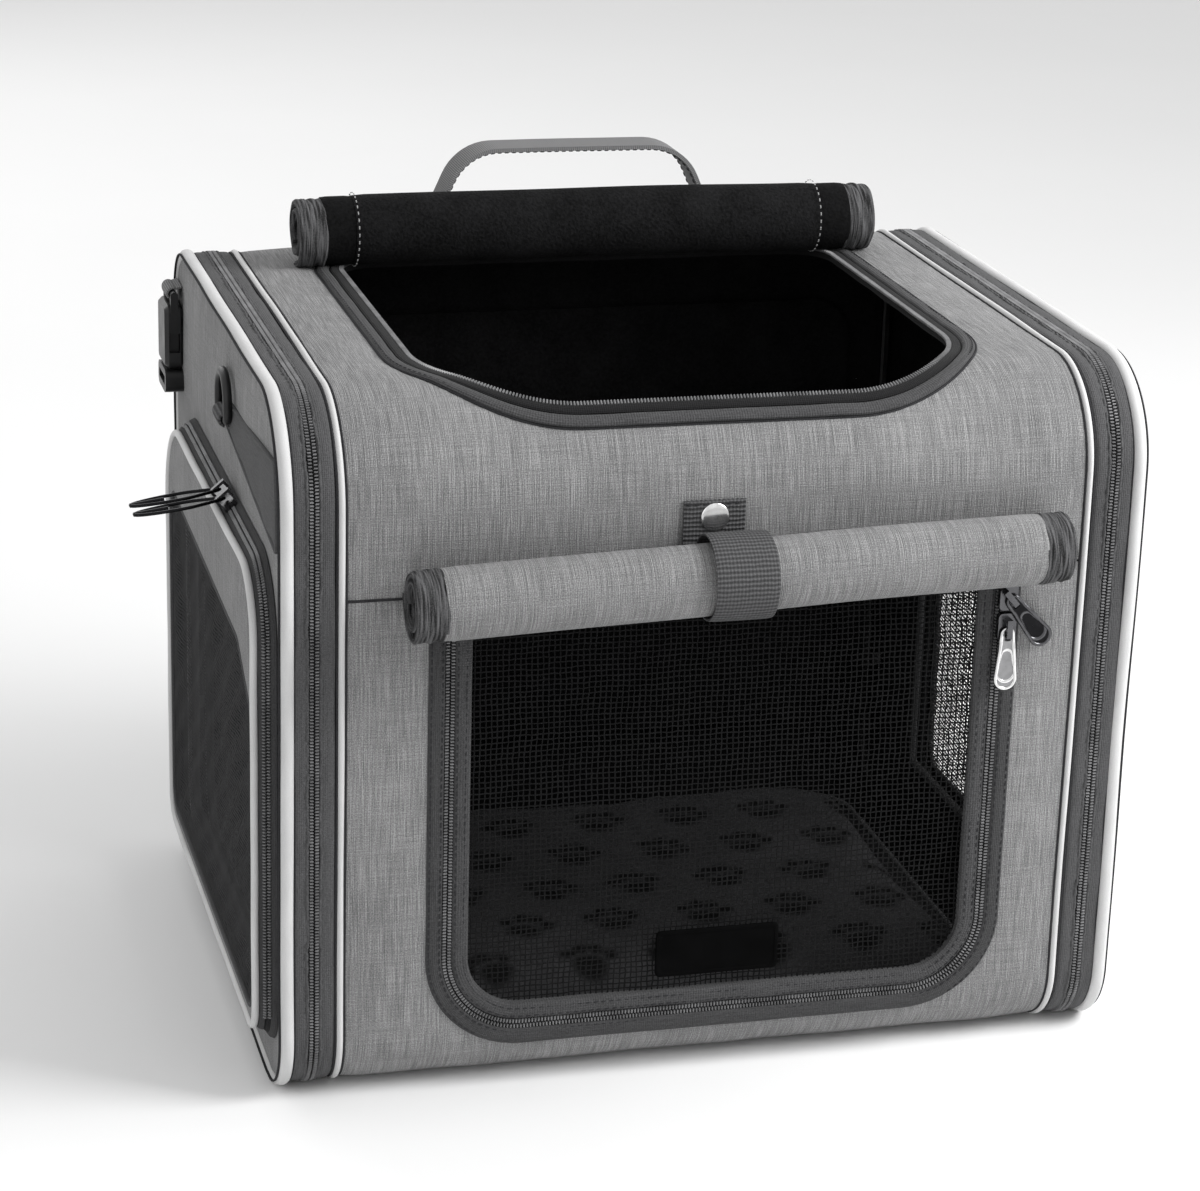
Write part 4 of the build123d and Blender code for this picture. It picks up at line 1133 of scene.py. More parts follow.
class BASKET_OT_top_edge(Maker, bpy.types.Operator):
    """Bind the edge of the top opening"""

    bl_idname = "basket.top_edge"
    bl_label = "Top edge"

    def make(self, sizes):
        pitch = sizes.stitch_pitch / MM
        edge, seams = Shape(), Shape()
        path = opening_path(0)
        tape_on_wall(edge, path, True, slab(-0.2, OPENING_TAPE, -WALL + 0.4, -0.5, 0, 9), 91, 1)
        tape_on_wall(edge, path, True, slab(5.2, OPENING_TAPE - 0.3, -0.9, 0.6, 0.45, 9), 92)
        # Dark line where the tape meets the linen: painted shade of that seam.
        centre, _, across, up = on_wall(even(opening_path(OPENING_TAPE + 0.1), 3, True), True)
        seam_shade_line(seams, centre, across, up, closed=True, width=0.9)
        centre, _, _, up = on_wall(even(opening_path(OPENING_TAPE - 1.6), pitch, True), True)
        stitches(seams, centre + up * 0.85, up, pitch, True)
        piece("opening_edge", edge, ["bound_edge", "zip_tape"], stands_for=["top_binding"])
        piece("opening_stitches_and_seam_shade", seams, ["stitch_thread_and_seam_shade"])


def rolled(shape, ends, thickness, turns, centre, radius, lying, seed,
           pitch=FLAP_PITCH, gathers=0.0, finish=0):
    """Part of a spiral sheet round a roll's middle. It starts behind the roll, or below it when lying."""
    (x0, x1), (first, last) = ends, turns
    angle = np.linspace(first, last, max(12, round((last - first) * ROLL_FACETS))) * 2 * pi
    loose = 0.5 * sway(angle * 9, 30, seed) * np.clip(angle / 3, 0, 1)
    out = radius - thickness / 2 - pitch * angle / (2 * pi) + loose
    away = round_away(-angle)
    if lying:
        away = away[:, [0, 2, 1]] * (1, 1, -1)
    line = np.array(centre) + out[:, None] * away
    x = np.linspace(x0, x1, max(6, round((x1 - x0) / (GATHER_STEP if gathers else FLAP_STEP))))
    half = np.full(len(x), thickness / 2)
    half[[0, -1]] = thickness * 0.3
    section = np.vstack([np.column_stack([x, half]), np.column_stack([x, -half])[::-1]])
    start = len(shape.points)
    strap(shape, line, ACROSS, away, section, finish=finish,
          relief=lambda run, at: gathers * ripple(at + 0.3 * run, 0.12 * run, 3.0, seed + 3))
    for k in range(start, len(shape.points)):
        x = shape.points[k][:, 0]
        drift = 0.45 * sway(x, 150, seed + 5)
        tilt = 0 if lying else ROLL_TILT * x
        shape.points[k] += np.column_stack([0 * drift, drift * 0.5, drift + tilt])
        shape.cloth[k] = shape.cloth[k][:, ::-1]
    return lengths(line)[-1]


class BASKET_OT_rolls(Maker, bpy.types.Operator):
    """Roll up the front and top flaps with their bound ends"""

    bl_idname = "basket.rolls"
    bl_label = "Rolled flaps"

    def make(self, sizes):
        bound, seam = Shape(), Shape()
        outer, inner = (0, FLAP_OUTER_TURNS), (FLAP_OUTER_TURNS, FLAP_TURNS)
        for name, lying, seed in (("front", False, 5), ("top", True, 6)):
            low, high = reach(f"{name}_flap_roll")
            x0, x1 = low[0], high[0]
            height = high[2] - ROLL_RADIUS if lying else SEAM + ROLL_OVER_SEAM
            centre = (0, low[1] + ROLL_RADIUS, height)
            first, last = (x0 + ROLL_TAPE, x1 - ROLL_TAPE) if lying else (x0 - 1, x1 + 1)
            spiral = (centre, ROLL_RADIUS - 0.1, lying, seed)
            body = Shape()
            run = rolled(body, (first, last), FLAP_THICKNESS, outer, *spiral, finish=1 if lying else 0)
            run += rolled(body, (x0 - 1, x1 + 1), FLAP_THICKNESS, inner, *spiral, finish=2)
            if lying:
                for ends in ((x0 - 1, first), (last, x1 + 1)):
                    rolled(body, ends, 1.4, outer, centre, ROLL_RADIUS - 0.5, True, seed, finish=2)
                self.loops(seam, (first + 0.9, last - 0.9), centre, sizes.stitch_pitch / MM)
            roll = piece(f"{name}_rolled_flap", body, ["linen", "flap_fleece", "lining"],
                         stands_for=[f"{name}_flap_roll"])
            for ends in ((x0 - ROLL_END, x0), (x1, x1 + ROLL_END)):
                rolled(bound, ends, BOUND_THICKNESS, (-0.02, 1.9), centre, ROLL_RADIUS + 0.3, lying, seed + 7,
                       BOUND_PITCH, 0.45)
        piece("roll_ends", bound, ["gathered_binding"], stands_for=["roll_bindings"])
        piece("roll_stitches", seam, ["pale_thread"])

    def loops(self, seam, places, centre, pitch):
        """Rings of stitches round the top roll."""
        away = round_away(np.arange(0, 2 * pi, pitch / ROLL_RADIUS))
        for x in places:
            ring = np.array([x, *centre[1:]]) + away * (ROLL_RADIUS + 0.05)
            stitches(seam, ring, away, pitch * 0.7, True)


def lathe(shape, profile, centre):
    """Turn a profile, given as radius and height, about an axis that points forward."""
    ring = across_away(np.linspace(0, 2 * pi, 32, endpoint=False), 1)
    rings = [np.array(centre) + radius * ring + height * FORWARD for radius, height in profile]
    lattice(shape, np.array(rings), False, True)


class BASKET_OT_roll_strap(Maker, bpy.types.Operator):
    """Wrap the ribbed strap round the front roll and press its snap shut"""

    bl_idname = "basket.roll_strap"
    bl_label = "Roll strap"

    def make(self, sizes):
        low, high = reach("roll_strap")
        outer = (high[2] - low[2]) / 2
        centre = np.array([0, low[1] + outer, (low[2] + high[2]) / 2])
        wrap = Shape()
        away = round_away(np.radians(np.linspace(26, 320, 70)))
        strap(wrap, centre + away * (outer - 0.7), ACROSS, away,
              slab(-STRAP_HALF, STRAP_HALF, -0.6, 0.45, 0.1, 12, 0.25))
        piece("strap_wrap", wrap, ["ribbed_webbing"], stands_for=["roll_strap"])
        self.tongue(sizes.stitch_pitch / MM)
        self.snap()

    def tongue(self, pitch):
        """Webbing tongue that hangs in front of the wrap, with a row of stitches at its top."""
        low, high = reach("strap_tongue")
        webbing = Shape()
        z = np.linspace(low[2], high[2] + CAP_RAISE, 10)
        line = np.column_stack([0 * z + TONGUE_SHIFT, np.full(10, low[1] + 0.6 - TONGUE_LIFT), z])
        strap(webbing, line, ACROSS, FORWARD, slab(-STRAP_HALF, STRAP_HALF, -0.6, 0.55, 0.1, 12, 0.25))
        x = np.arange(-11, 11.5, pitch)
        row = np.column_stack([x + TONGUE_SHIFT, np.full(len(x), low[1] - 0.02 - TONGUE_LIFT),
                               np.full(len(x), high[2] + CAP_RAISE - 1.6)])
        stitches(webbing, row, FORWARD, pitch, finish=1)
        piece("strap_tongue_webbing", webbing, ["ribbed_webbing", "stitch_thread_and_seam_shade"],
              body="tongue", stands_for=["strap_tongue"])

    def snap(self):
        """Domed cap on the tongue and the stud that it presses on."""
        low, high = reach("snap_cap")
        x, _, z = (low + high) / 2
        radius = (high[0] - low[0]) / 2
        bends = np.linspace(0, 1, 9)[:-1] * pi / 2
        profile = [(radius, -0.2), (radius * 1.01, 0.15)]
        profile += [(radius * cos(bend), 0.3 + 0.9 * sin(bend)) for bend in bends] + [(0.05, 1.2)]
        cap = Shape()
        lathe(cap, profile, (x + TONGUE_SHIFT, high[1] - TONGUE_LIFT, z + CAP_RAISE))
        piece("snap_dome", cap, ["bright_nickel"], body="tongue",
              stands_for=["snap_cap"], crease=60)
        low, high = reach("snap_stud")
        x, _, z = (low + high) / 2
        radius = (high[0] - low[0]) / 2
        profile = [(radius * 1.5, 0), (radius * 1.5, 0.3), (radius * 0.7, 0.5), (radius, 1.0),
                   (radius * 0.7, 1.3), (0.05, 1.4)]
        stud = Shape()
        lathe(stud, profile, (x + TONGUE_SHIFT, high[1] - 0.4, z + CAP_RAISE))
        piece("snap_post", stud, ["bright_nickel"], stands_for=["snap_stud"], crease=60)


def teardrop(near, far, length, start):
    """Outline of a pull: two circles joined by tangents, with the middle of the small one at the start."""
    slant = np.arcsin((far - near) / length)
    turn = np.linspace(-pi / 2 - slant, pi / 2 + slant, 40)
    tip = np.column_stack([length + far * np.cos(turn), far * np.sin(turn)])
    turn = np.linspace(pi / 2 + slant, 3 * pi / 2 - slant, 24)
    neck = np.column_stack([near * np.cos(turn), near * np.sin(turn)])
    return even(np.vstack([tip, neck]), 0.6, True) + (start, 0)


def tear_pull(shape, pin, along, across, up):
    """Cast pull with a raised rim, a slot at its pin and a dished middle."""
    pin, along, across, up = (np.array(v, float) for v in (pin, along, across, up))
    slot_end, slot_half = 5.6, 1.6

    def plane(flat, height=0.0):
        return pin + flat[:, :1] * along + flat[:, 1:] * across + height * up

    rim = plane(teardrop(3.2, 5.2, PULL_SPAN, PULL_START))
    hoop(shape, rim, np.cross(headings(rim, True), up), up, bead(1.7, 1.0, 1.0, 10) - (0.85, 0))
    cast = shape.points[-1]
    away = cast - pin
    ahead, aside = away @ along, away @ across
    thin = np.clip(0.5 + 0.12 * (ahead - 5.5), 0.5, 1)
    cast += ((thin - 1) * (away @ up))[:, None] * up
    in_slot = (ahead > 0.5) & (ahead < slot_end) & (abs(aside) < slot_half + 0.05)
    at_bar = in_slot & (ahead < 1.35) & (abs(aside) < 1.25)
    cast += np.where(at_bar, 0.5 - ahead, 0)[:, None] * along
    beside = np.where(in_slot & ~at_bar, np.sign(aside) * (slot_half + 0.05) - aside, 0)
    cast += beside[:, None] * across
    slot = rounded([(0.6, -slot_half), (slot_end, -slot_half), (slot_end, slot_half), (0.6, slot_half)],
                   (0.5,) * 4, 0.4)
    dish = teardrop(2.3, 4.0, 8.6, 11.4)
    middle = dish.mean(axis=0)
    points, faces, _ = cut_cloth(teardrop(2.7, 4.7, PULL_SPAN, PULL_START), [slot, dish], 1.1)
    for height in (0.45, -0.45):
        places = plane(points, height)
        looks_up = (face_ways(places, faces) @ up).mean() > 0
        shape.add_cut(places, points, turned(faces, looks_up == (height > 0)), 1)
        rings = np.array([plane(middle + (dish - middle) * share, height * rise)
                          for share, rise in DISH_LEVELS])
        lattice(shape, rings[:4], False, True, 0, flip=height < 0)
        lattice(shape, rings[3:], False, True, 1, flip=height < 0)
    lattice(shape, np.array([plane(slot, 0.5), plane(slot, -0.5)]), False, True)


def ring_tube(shape, path, radius, up, closed=True, count=12):
    """Round wire along a flat path."""
    section = radius * round_away(np.linspace(0, 2 * pi, count, endpoint=False))[:, 1:]
    across = np.cross(headings(path, closed), up)
    sweep(shape, path, across, up, section, closed=closed, tube=True, capped=not closed)


def hinge_of(body):
    """Place and direction of the joint that moves a body."""
    joint = next(joint for joint in frame["joints"] if joint["child"] == body)
    return np.array(joint["pos_m"]) / MM, np.array(joint["axis"])


class BASKET_OT_front_pulls(Maker, bpy.types.Operator):
    """Hang the two pulls of the front window's zip"""

    bl_idname = "basket.front_pulls"
    bl_label = "Front pulls"

    def make(self, sizes):
        for name, slot, rim, face in (("lower", "pull_silver", "bright_nickel", "worn_nickel"),
                                      ("upper", "pull_gunmetal", "gunmetal", "dull_gunmetal")):
            pin, across = hinge_of(f"{name}_pull")
            along = np.cross(FORWARD, across)
            pull = Shape()
            tear_pull(pull, pin, along if along[2] < 0 else -along, across, FORWARD)
            piece(f"front_{name}_tear_pull", pull, [rim, face], body=f"{name}_pull",
                  stands_for=[f"front_pull_{name}"], crease=50)
            dress(f"front_slider_{name}", "gunmetal")


class BASKET_OT_side_doors(Maker, bpy.types.Operator):
    """Build both side doors with their nets, zips and pulls"""

    bl_idname = "basket.side_doors"
    bl_label = "Side doors"

    def make(self, sizes):
        for name, side in SIDES.items():
            low, high = reach(f"{name}_door_gusset")
            near, rim_x = (low[0], high[0]) if side > 0 else (high[0], low[0])
            self.gusset(name, side, near, abs(rim_x - near), sizes.tooth_pitch / MM)
            self.cord(name, side, rim_x)
            self.face(name, side, rim_x + side * 1.6, sizes)
            self.pulls(name)

    def gusset(self, name, side, near, run, pitch):
        """Sloping side of a door: two strips of cloth, the tape between them and the teeth on it."""
        flare, up = DOOR_FLARE[name], np.array([side, 0, 0])
        path = door_path(name, 0, 3.0)
        line = at_x(near, path)
        outward = outward_of(line)
        gusset = Shape()
        for first, last in ((0, 0.34), (0.66, 1)):
            middle = (first + last) / 2
            section = [(-flare * first - 1.8, run * first), (-flare * first, run * first),
                       (-flare * middle + 0.35, run * middle + 0.2),
                       (-flare * last, run * last), (-flare * last - 1.8, run * last)]
            hoop(gusset, line, outward, up, section)
        section = [(-flare * 0.3 - 1.4, run * 0.3), (-flare * 0.3 - 0.6, run * 0.32),
                   (-flare * 0.7 - 0.6, run * 0.68), (-flare * 0.7 - 1.4, run * 0.7)]
        hoop(gusset, line, outward, up, section, finish=1)
        fine = even(path, pitch / 2, True)
        spots = at_x(near, fine[fine[:, 1] > path[:, 1].min() + DOOR_HEM])
        along = headings(spots, False)
        out = np.cross(along, ACROSS)
        out = out * np.sign(np.einsum("ij,ij->i", out, spots - spots.mean(axis=0)))[:, None]
        slope = hypot(run, flare)
        face_up = out * run / slope + up * flare / slope
        face_across = up * run / slope - out * flare / slope
        spots = spots - out * (flare * 0.5 + 0.2) + up * run * 0.5
        teeth(gusset, spots, along, face_across, face_up, 2)
        piece(f"{name}_door_side", gusset, ["door_gusset_cloth", "zip_tape", "coil_nylon"],
              body=f"{name}_door", stands_for=[f"{name}_door_gusset"])

    def cord(self, name, side, rim_x):
        """White piping round the rim of a door."""
        cord = Shape()
        rim = at_x(rim_x + side * 1.4, door_path(name, DOOR_FLARE[name] + 0.6, 3.0))
        hoop(cord, rim, outward_of(rim), (side, 0, 0), bead(3.2, 1.6, 1.6) + (0.2, 0),
             relief=lambda u, v: 0.2 * sway(u, 70, 131 + side))
        piece(f"{name}_door_cord", cord, ["reflective_piping"], body=f"{name}_door",
              stands_for=[f"{name}_door_piping"])

    def face(self, name, side, face_x, sizes):
        """Cloth frame and net of a door."""
        low, high = reach(f"{name}_door_net")
        (y0, z0), (y1, z1) = low[1:], high[1:]
        corners = [(y0, z0), (y0, z1 - 26), (y0 + 34, z1 - 6), (y1, z1), (y1, z0)]
        hole = rounded(corners, (12, 10, 14, 16, 12), 2.0)
        cloth = Shape()
        outer = door_path(name, DOOR_FLARE[name] + 1.4)
        points, faces, gap = cut_cloth(outer, [hole], sizes.cloth_step / MM)
        bulge = swell(gap, 7) * (0.5 + 0.35 * ripple(points[:, 0], points[:, 1], 44, 150 + side))
        faces = turned(faces, side > 0)
        cloth.add_cut(at_x(face_x + side * bulge, points), points, faces)
        cloth.add_cut(at_x(face_x - side * 1.4, points), points, faces[:, ::-1], 1)
        edge = at_x(face_x - side * 0.6, even(hole, 2.5, True))
        hoop(cloth, edge, outward_of(edge), (side, 0, 0), bead(2.6, 1.1, 0.9), finish=2)
        piece(f"{name}_door_cloth", cloth, ["linen", "lining", "bound_edge"],
              body=f"{name}_door", stands_for=[f"{name}_door_panel"])
        net = Shape()
        net_x = face_x - side * 0.7

        def place(flat):
            y, z = flat.T
            inwards = gap_to(flat, [hole])
            sag = np.clip(inwards / 20, 0, 1) * (-1.2 + 1.0 * ripple(y, z * 0.6, 60, 160 + side))
            fold = np.sin((y * 0.8 + z) * 2 * pi / 21) * 0.45 * np.clip(inwards / 10, 0, 1)
            return at_x(net_x + side * (sag + fold), flat)

        net_cells(net, hole, place, sizes.net_pitch / MM * 0.8, sizes.net_thread / MM * 1.7, 170 + side,
                  spread=1, lap=1.5)
        piece(f"{name}_door_mesh", net, ["door_net_thread"], body=f"{name}_door",
              stands_for=[f"{name}_door_net"], crease=180)

    def pulls(self, name):
        """Pulls of a door's two sliders: wire loops on the left, cast ones on the right."""
        for which, way in (("front", -1), ("back", 1)):
            dress(f"{name}_door_slider_{which}", "gunmetal")
            pin, axis = hinge_of(f"{name}_{which}_pull")
            pull = Shape()
            if name == "left":
                self.wire(pull, pin, axis)
            else:
                along = np.array([0, way, 0])
                tear_pull(pull, pin, along, axis, np.abs(np.cross(axis, along)))
            piece(f"{name}_{which}_door_pull", pull, ["dull_gunmetal", "gunmetal"],
                  body=f"{name}_{which}_pull", stands_for=[f"{name}_door_pull_{which}"], crease=50)

    def wire(self, pull, pin, axis):
        """Long wire loop with a pinched neck and a thick stem at its tip, drooping from the left door."""
        length, half, droop = 38.5, 4.2, radians(8)
        out = np.array([-cos(droop), 0, -sin(droop)])
        up = np.cross(out, axis)
        turn = np.linspace(0, 1, 60, endpoint=False) * 2 * pi
        x = length / 2 * (1 - np.cos(turn))
        y = half * np.sin(turn) * (0.55 + 0.45 * np.clip(x / 14, 0, 1))
        ring_tube(pull, even(pin + x[:, None] * out + y[:, None] * axis, 1.2, True), 0.75, up)
        stem = np.array([pin + out * (0.62 * length), pin + out * (length + 0.2)])
        ring_tube(pull, even(stem, 1.5), 1.0, up, closed=False)


def outward_of(line):
    """Unit directions that point out of a closed flat loop."""
    normal = np.cross(line[1] - line[0], line[len(line) // 3] - line[0])
    out = np.cross(headings(line, True), normal / np.linalg.norm(normal))
    return out * np.sign(np.einsum("ij,ij->i", out, line - line.mean(axis=0)).sum())


class BASKET_OT_ring_tabs(Maker, bpy.types.Operator):
    """Sew the D-rings into their tabs"""

    bl_idname = "basket.ring_tabs"
    bl_label = "Ring tabs"

    def make(self, sizes):
        tabs = Shape()
        for name, side in SIDES.items():
            low, high = reach(f"{name}_d_ring")
            axle = np.array([(low[0] + high[0]) / 2, (low[1] + high[1]) / 2, low[2] + RING_WIRE])
            self.tab(tabs, side, axle)
            self.ring(name, side, axle)
        piece("ring_tab_cloth", tabs, ["gusset_cloth", "ribbed_webbing"],
              stands_for=["ring_tabs"])

    def tab(self, tabs, side, axle):
        """Cloth tab on the end panel and the webbing that goes round the ring's straight bar."""
        _, y, z = axle
        corners = [(y + TAB_HALF, z - 6), (y + TAB_HALF, z + 5), (y - TAB_HALF, z + 5.5),
                   (FRONT + 6.5, 276), (FRONT + 4.2, 256), (FRONT + 4, 240.5)]
        outline = rounded(corners, (2, 1, 10, 1, 6, 1), 1.5)
        face = side * (SIDE_FACE + 0.05)
        points, faces, gap = cut_cloth(outline, [], 4)
        bulge = 1.2 + (swell(gap, 3) + 0.3 * ripple(points[:, 0], points[:, 1], 40, 190))
        tabs.add_cut(at_x(face + side * bulge, points), points, turned(faces, side > 0))
        edge = at_x(face + side * 0.9, even(outline, 3, True))
        hoop(tabs, edge, outward_of(edge), (side, 0, 0), bead(1.8, 1.1, 1.3))
        away = across_away(np.radians(np.linspace(-75, 255, 36)), side)
        strap(tabs, axle + away * 3.0, BACKWARD, away,
              slab(-TAB_HALF, TAB_HALF, -0.6, 0.6, 0.1, 10, 0.2), finish=1)

    def ring(self, name, side, axle):
        """Moulded D-ring."""
        radius, leg = RING_BOW, RING_LEG
        arc = np.radians(np.linspace(0, 180, 30))
        bow = np.column_stack([radius * np.cos(arc), leg + radius * np.sin(arc)])
        base = rounded([(-radius, leg), (-radius, 0), (radius, 0), (radius, leg)], (0, 3, 3, 0), 0.8, False)
        path = at_x(axle[0], even(np.vstack([bow, base[1:-1]]), 1.2, True) + axle[1:])
        ring = Shape()
        ring_tube(ring, path, RING_WIRE, (side, 0, 0), count=14)
        piece(f"{name}_ring", ring, ["black_acetal"], body=f"{name}_ring",
              stands_for=[f"{name}_d_ring"], crease=60)


class BASKET_OT_buckles(Maker, bpy.types.Operator):
    """Hang the side-release buckles in their webbing"""

    bl_idname = "basket.buckles"
    bl_label = "Buckles"

    def make(self, sizes):
        tabs = Shape()
        for name, side in SIDES.items():
            axle, _ = hinge_of(f"{name}_socket")
            away = across_away(np.radians(np.linspace(-140, 120, 30)), side)
            line = np.vstack([axle + away * 2.75, (side * (SIDE_FACE + 0.7), axle[1], axle[2] + 3.2)])
            up = np.cross(BACKWARD, headings(line, False)) * side
            strap(tabs, line, BACKWARD, up, slab(-BUCKLE_HALF, BUCKLE_HALF, -0.5, 0.5, 0.1, 10, 0.2))
            for part in ("socket", "latch"):
                dress(f"{name}_buckle_{part}", "black_acetal")
        piece("buckle_webbing", tabs, ["handle_webbing"], stands_for=["buckle_tabs"])


def vertices_of(mesh):
    """Places of a mesh's points, in metres."""
    return np.array([vertex.co for vertex in mesh.vertices])


def apply_modifiers(made):
    """Keep what an object's modifiers make of its mesh."""
    shown = made.evaluated_get(bpy.context.evaluated_depsgraph_get())
    mesh = bpy.data.meshes.new_from_object(shown)
    made.modifiers.clear()
    made.data = mesh


def soften(made, pressure, most):
    """Puff a closed mesh out with a short cloth simulation. No point moves by more than a distance."""
    start = vertices_of(made.data)
    cloth = made.modifiers.new("Cloth", "CLOTH")
    cloth.settings.use_pressure = True
    cloth.settings.uniform_pressure_force = pressure
    cloth.settings.effector_weights.gravity = 0
    cloth.settings.quality = 5
    scene = bpy.context.scene
    for frame_number in range(1, SIMULATED_FRAMES + 1):
        scene.frame_set(frame_number)
    shown = made.evaluated_get(bpy.context.evaluated_depsgraph_get())
    shift = vertices_of(shown.data) - start
    made.modifiers.remove(cloth)
    scene.frame_set(1)
    size = np.linalg.norm(shift, axis=1)[:, None]
    shift *= np.minimum(1, most / np.maximum(size, 1e-9))
    made.data.vertices.foreach_set("co", (start + shift).ravel())
    made.data.update()


class BASKET_OT_floor_pad(Maker, bpy.types.Operator):
    """Fill the floor pad and lay it on the base board"""

    bl_idname = "basket.floor_pad"
    bl_label = "Floor pad"

    def make(self, sizes):
        low, high = reach("floor_pad")
        middle = (low + high) / 2
        x, y, _ = (high - low) / 2
        outline = rounded([(-x, -y), (x, -y), (x, y), (-x, y)], (PAD_CORNER,) * 4, PAD_FACET)

        def ring(share, height):
            """The outline, drawn in to a share of its size, at a share of the pad's height."""
            flat = middle[:2] + outline * share
            return np.column_stack([flat, np.full(len(flat), low[2] + height * (high[2] - low[2]))])

        rings = np.array([ring(*level) for level in PAD_LEVELS])
        pad = Shape()
        lattice(pad, rings, False, True, flip=True)
        pad.add(rings[0], [range(len(outline))], outline * MM)
        pad.add(rings[-1], [range(len(outline))[::-1]], outline[::-1] * MM)
        made = piece("pad", pad, ["printed_plush"], stands_for=["floor_pad"], crease=180)
        remesh = made.modifiers.new("Remesh", "REMESH")
        remesh.mode, remesh.voxel_size, remesh.use_smooth_shade = "VOXEL", PAD_FACET * MM, True
        apply_modifiers(made)
        soften(made, PAD_PRESSURE, PAD_GROWTH * MM)
        points = np.clip(vertices_of(made.data) / MM, low + PAD_SLACK[0], high + PAD_SLACK[1])
        made.data.vertices.foreach_set("co", (points * MM).ravel())
        finer = made.modifiers.new("Subdivision", "SUBSURF")
        finer.levels = finer.render_levels = 1
        apply_modifiers(made)
        points = vertices_of(made.data) / MM
        mark = made.data.attributes.new("print", "FLOAT", "POINT")
        mark.data.foreach_set("value", paw_marks(points[:, :2], low) * (points[:, 2] > low[2] + 6))
        made.data.polygons.foreach_set("use_smooth", [True] * len(made.data.polygons))
        welt = Shape()
        ring_tube(welt, even(ring(0.995, 0.42), 4, True), 1.1, (0, 0, 1), count=8)
        piece("pad_welt", welt, ["gusset_cloth"])
        dress("base_board", "stiff_board")
        dress("back_board", "lining")


def paw_marks(spots, low):
    """How strongly each spot of the pad is printed with a paw."""
    toes = [(0, 0, 8.5, 6.8), (-9.5, 8, 3.6, 4.6), (-3.4, 13, 3.6, 4.8), (3.4, 13, 3.6, 4.8),
            (9.5, 8, 3.6, 4.6)]
    printed = np.zeros(len(spots))
    chance = np.random.default_rng(8)
    for row in range(6):
        for column in range(7):
            turn = chance.uniform(-0.5, 0.5)
            x, y = (spots - (low[0] + 24 + 42 * column + 21 * (row % 2), low[1] + 20 + 37 * row)).T
            u, v = x * cos(turn) + y * sin(turn), y * cos(turn) - x * sin(turn)
            for dx, dy, a, b in toes:
                within = 1 - np.sqrt(((u - dx) / a) ** 2 + ((v - dy) / b) ** 2)
                printed = np.maximum(printed, np.clip(within * 2.2 + 0.4, 0, 1))
    return printed


class BASKET_OT_handle(Maker, bpy.types.Operator):
    """Sew the carry handle to its patches"""

    bl_idname = "basket.handle"
    bl_label = "Carry handle"

    def make(self, sizes):
        pitch = sizes.stitch_pitch / MM
        low, high = reach("carry_handle")
        foot, shoulder, rise = HANDLE_FOOT, HANDLE_FOOT - HANDLE_LEAN, high[2] - 1.3
        corners = [(-foot, low[2]), (-shoulder, rise), (shoulder, rise), (foot, low[2])]
        x, z = rounded(corners, (0, 24, 24, 0), 3, False).T
        line = np.column_stack([x, np.full(len(x), (low[1] + high[1]) / 2), z])
        line[:, 1] += 0.8 * sway(lengths(line), 120, 201)
        webbing = Shape()
        above = np.cross(BACKWARD, headings(line, False))
        strap(webbing, line, BACKWARD, above, slab(-HANDLE_HALF, HANDLE_HALF, -1.2, 1.1, 0.25, 12, 0.4))
        for offset in (-8, 8):
            edge = even(line + (0, offset, 0), pitch)
            above = np.cross(BACKWARD, headings(edge, False))
            stitches(webbing, edge + above * 1.2, above, pitch, finish=1)
        piece("handle_webbing", webbing, ["handle_webbing", "stitch_thread_and_seam_shade"], body="handle",
              stands_for=["carry_handle"])
        self.patches(pitch * 0.8)

    def patches(self, pitch):
        """Patches under the handle's feet, each sewn on with a crossed box of stitches."""
        patches = Shape()
        low, high = reach("handle_patches")
        for x in (-HANDLE_FOOT, HANDLE_FOOT):
            at = np.linspace(top_at(0) + low[1] + 0.4, top_at(0) + high[1] + 0.8, 9)
            strap(patches, skin(x, at), ACROSS, skin_normal(at),
                  slab(-PATCH_HALF, PATCH_HALF, -0.1, 1.1, 0.15, 10, 0.3))
            first, last = at[0] + 2, at[-1] - 2
            left, right = x - BOX_HALF, x + BOX_HALF
            corners = np.array([(left, first), (right, first), (right, last), (left, last)])
            for line, closed in ((corners, True), (corners[[0, 2]], False), (corners[[1, 3]], False)):
                flat = even(line, pitch, closed)
                places, up = skin(flat[:, 0], flat[:, 1], 1.2), skin_normal(flat[:, 1])
                stitches(patches, places, up, pitch, closed, 1)
        piece("handle_patch_webbing", patches, ["ribbed_webbing", "pale_thread"],
              stands_for=["handle_patches"])


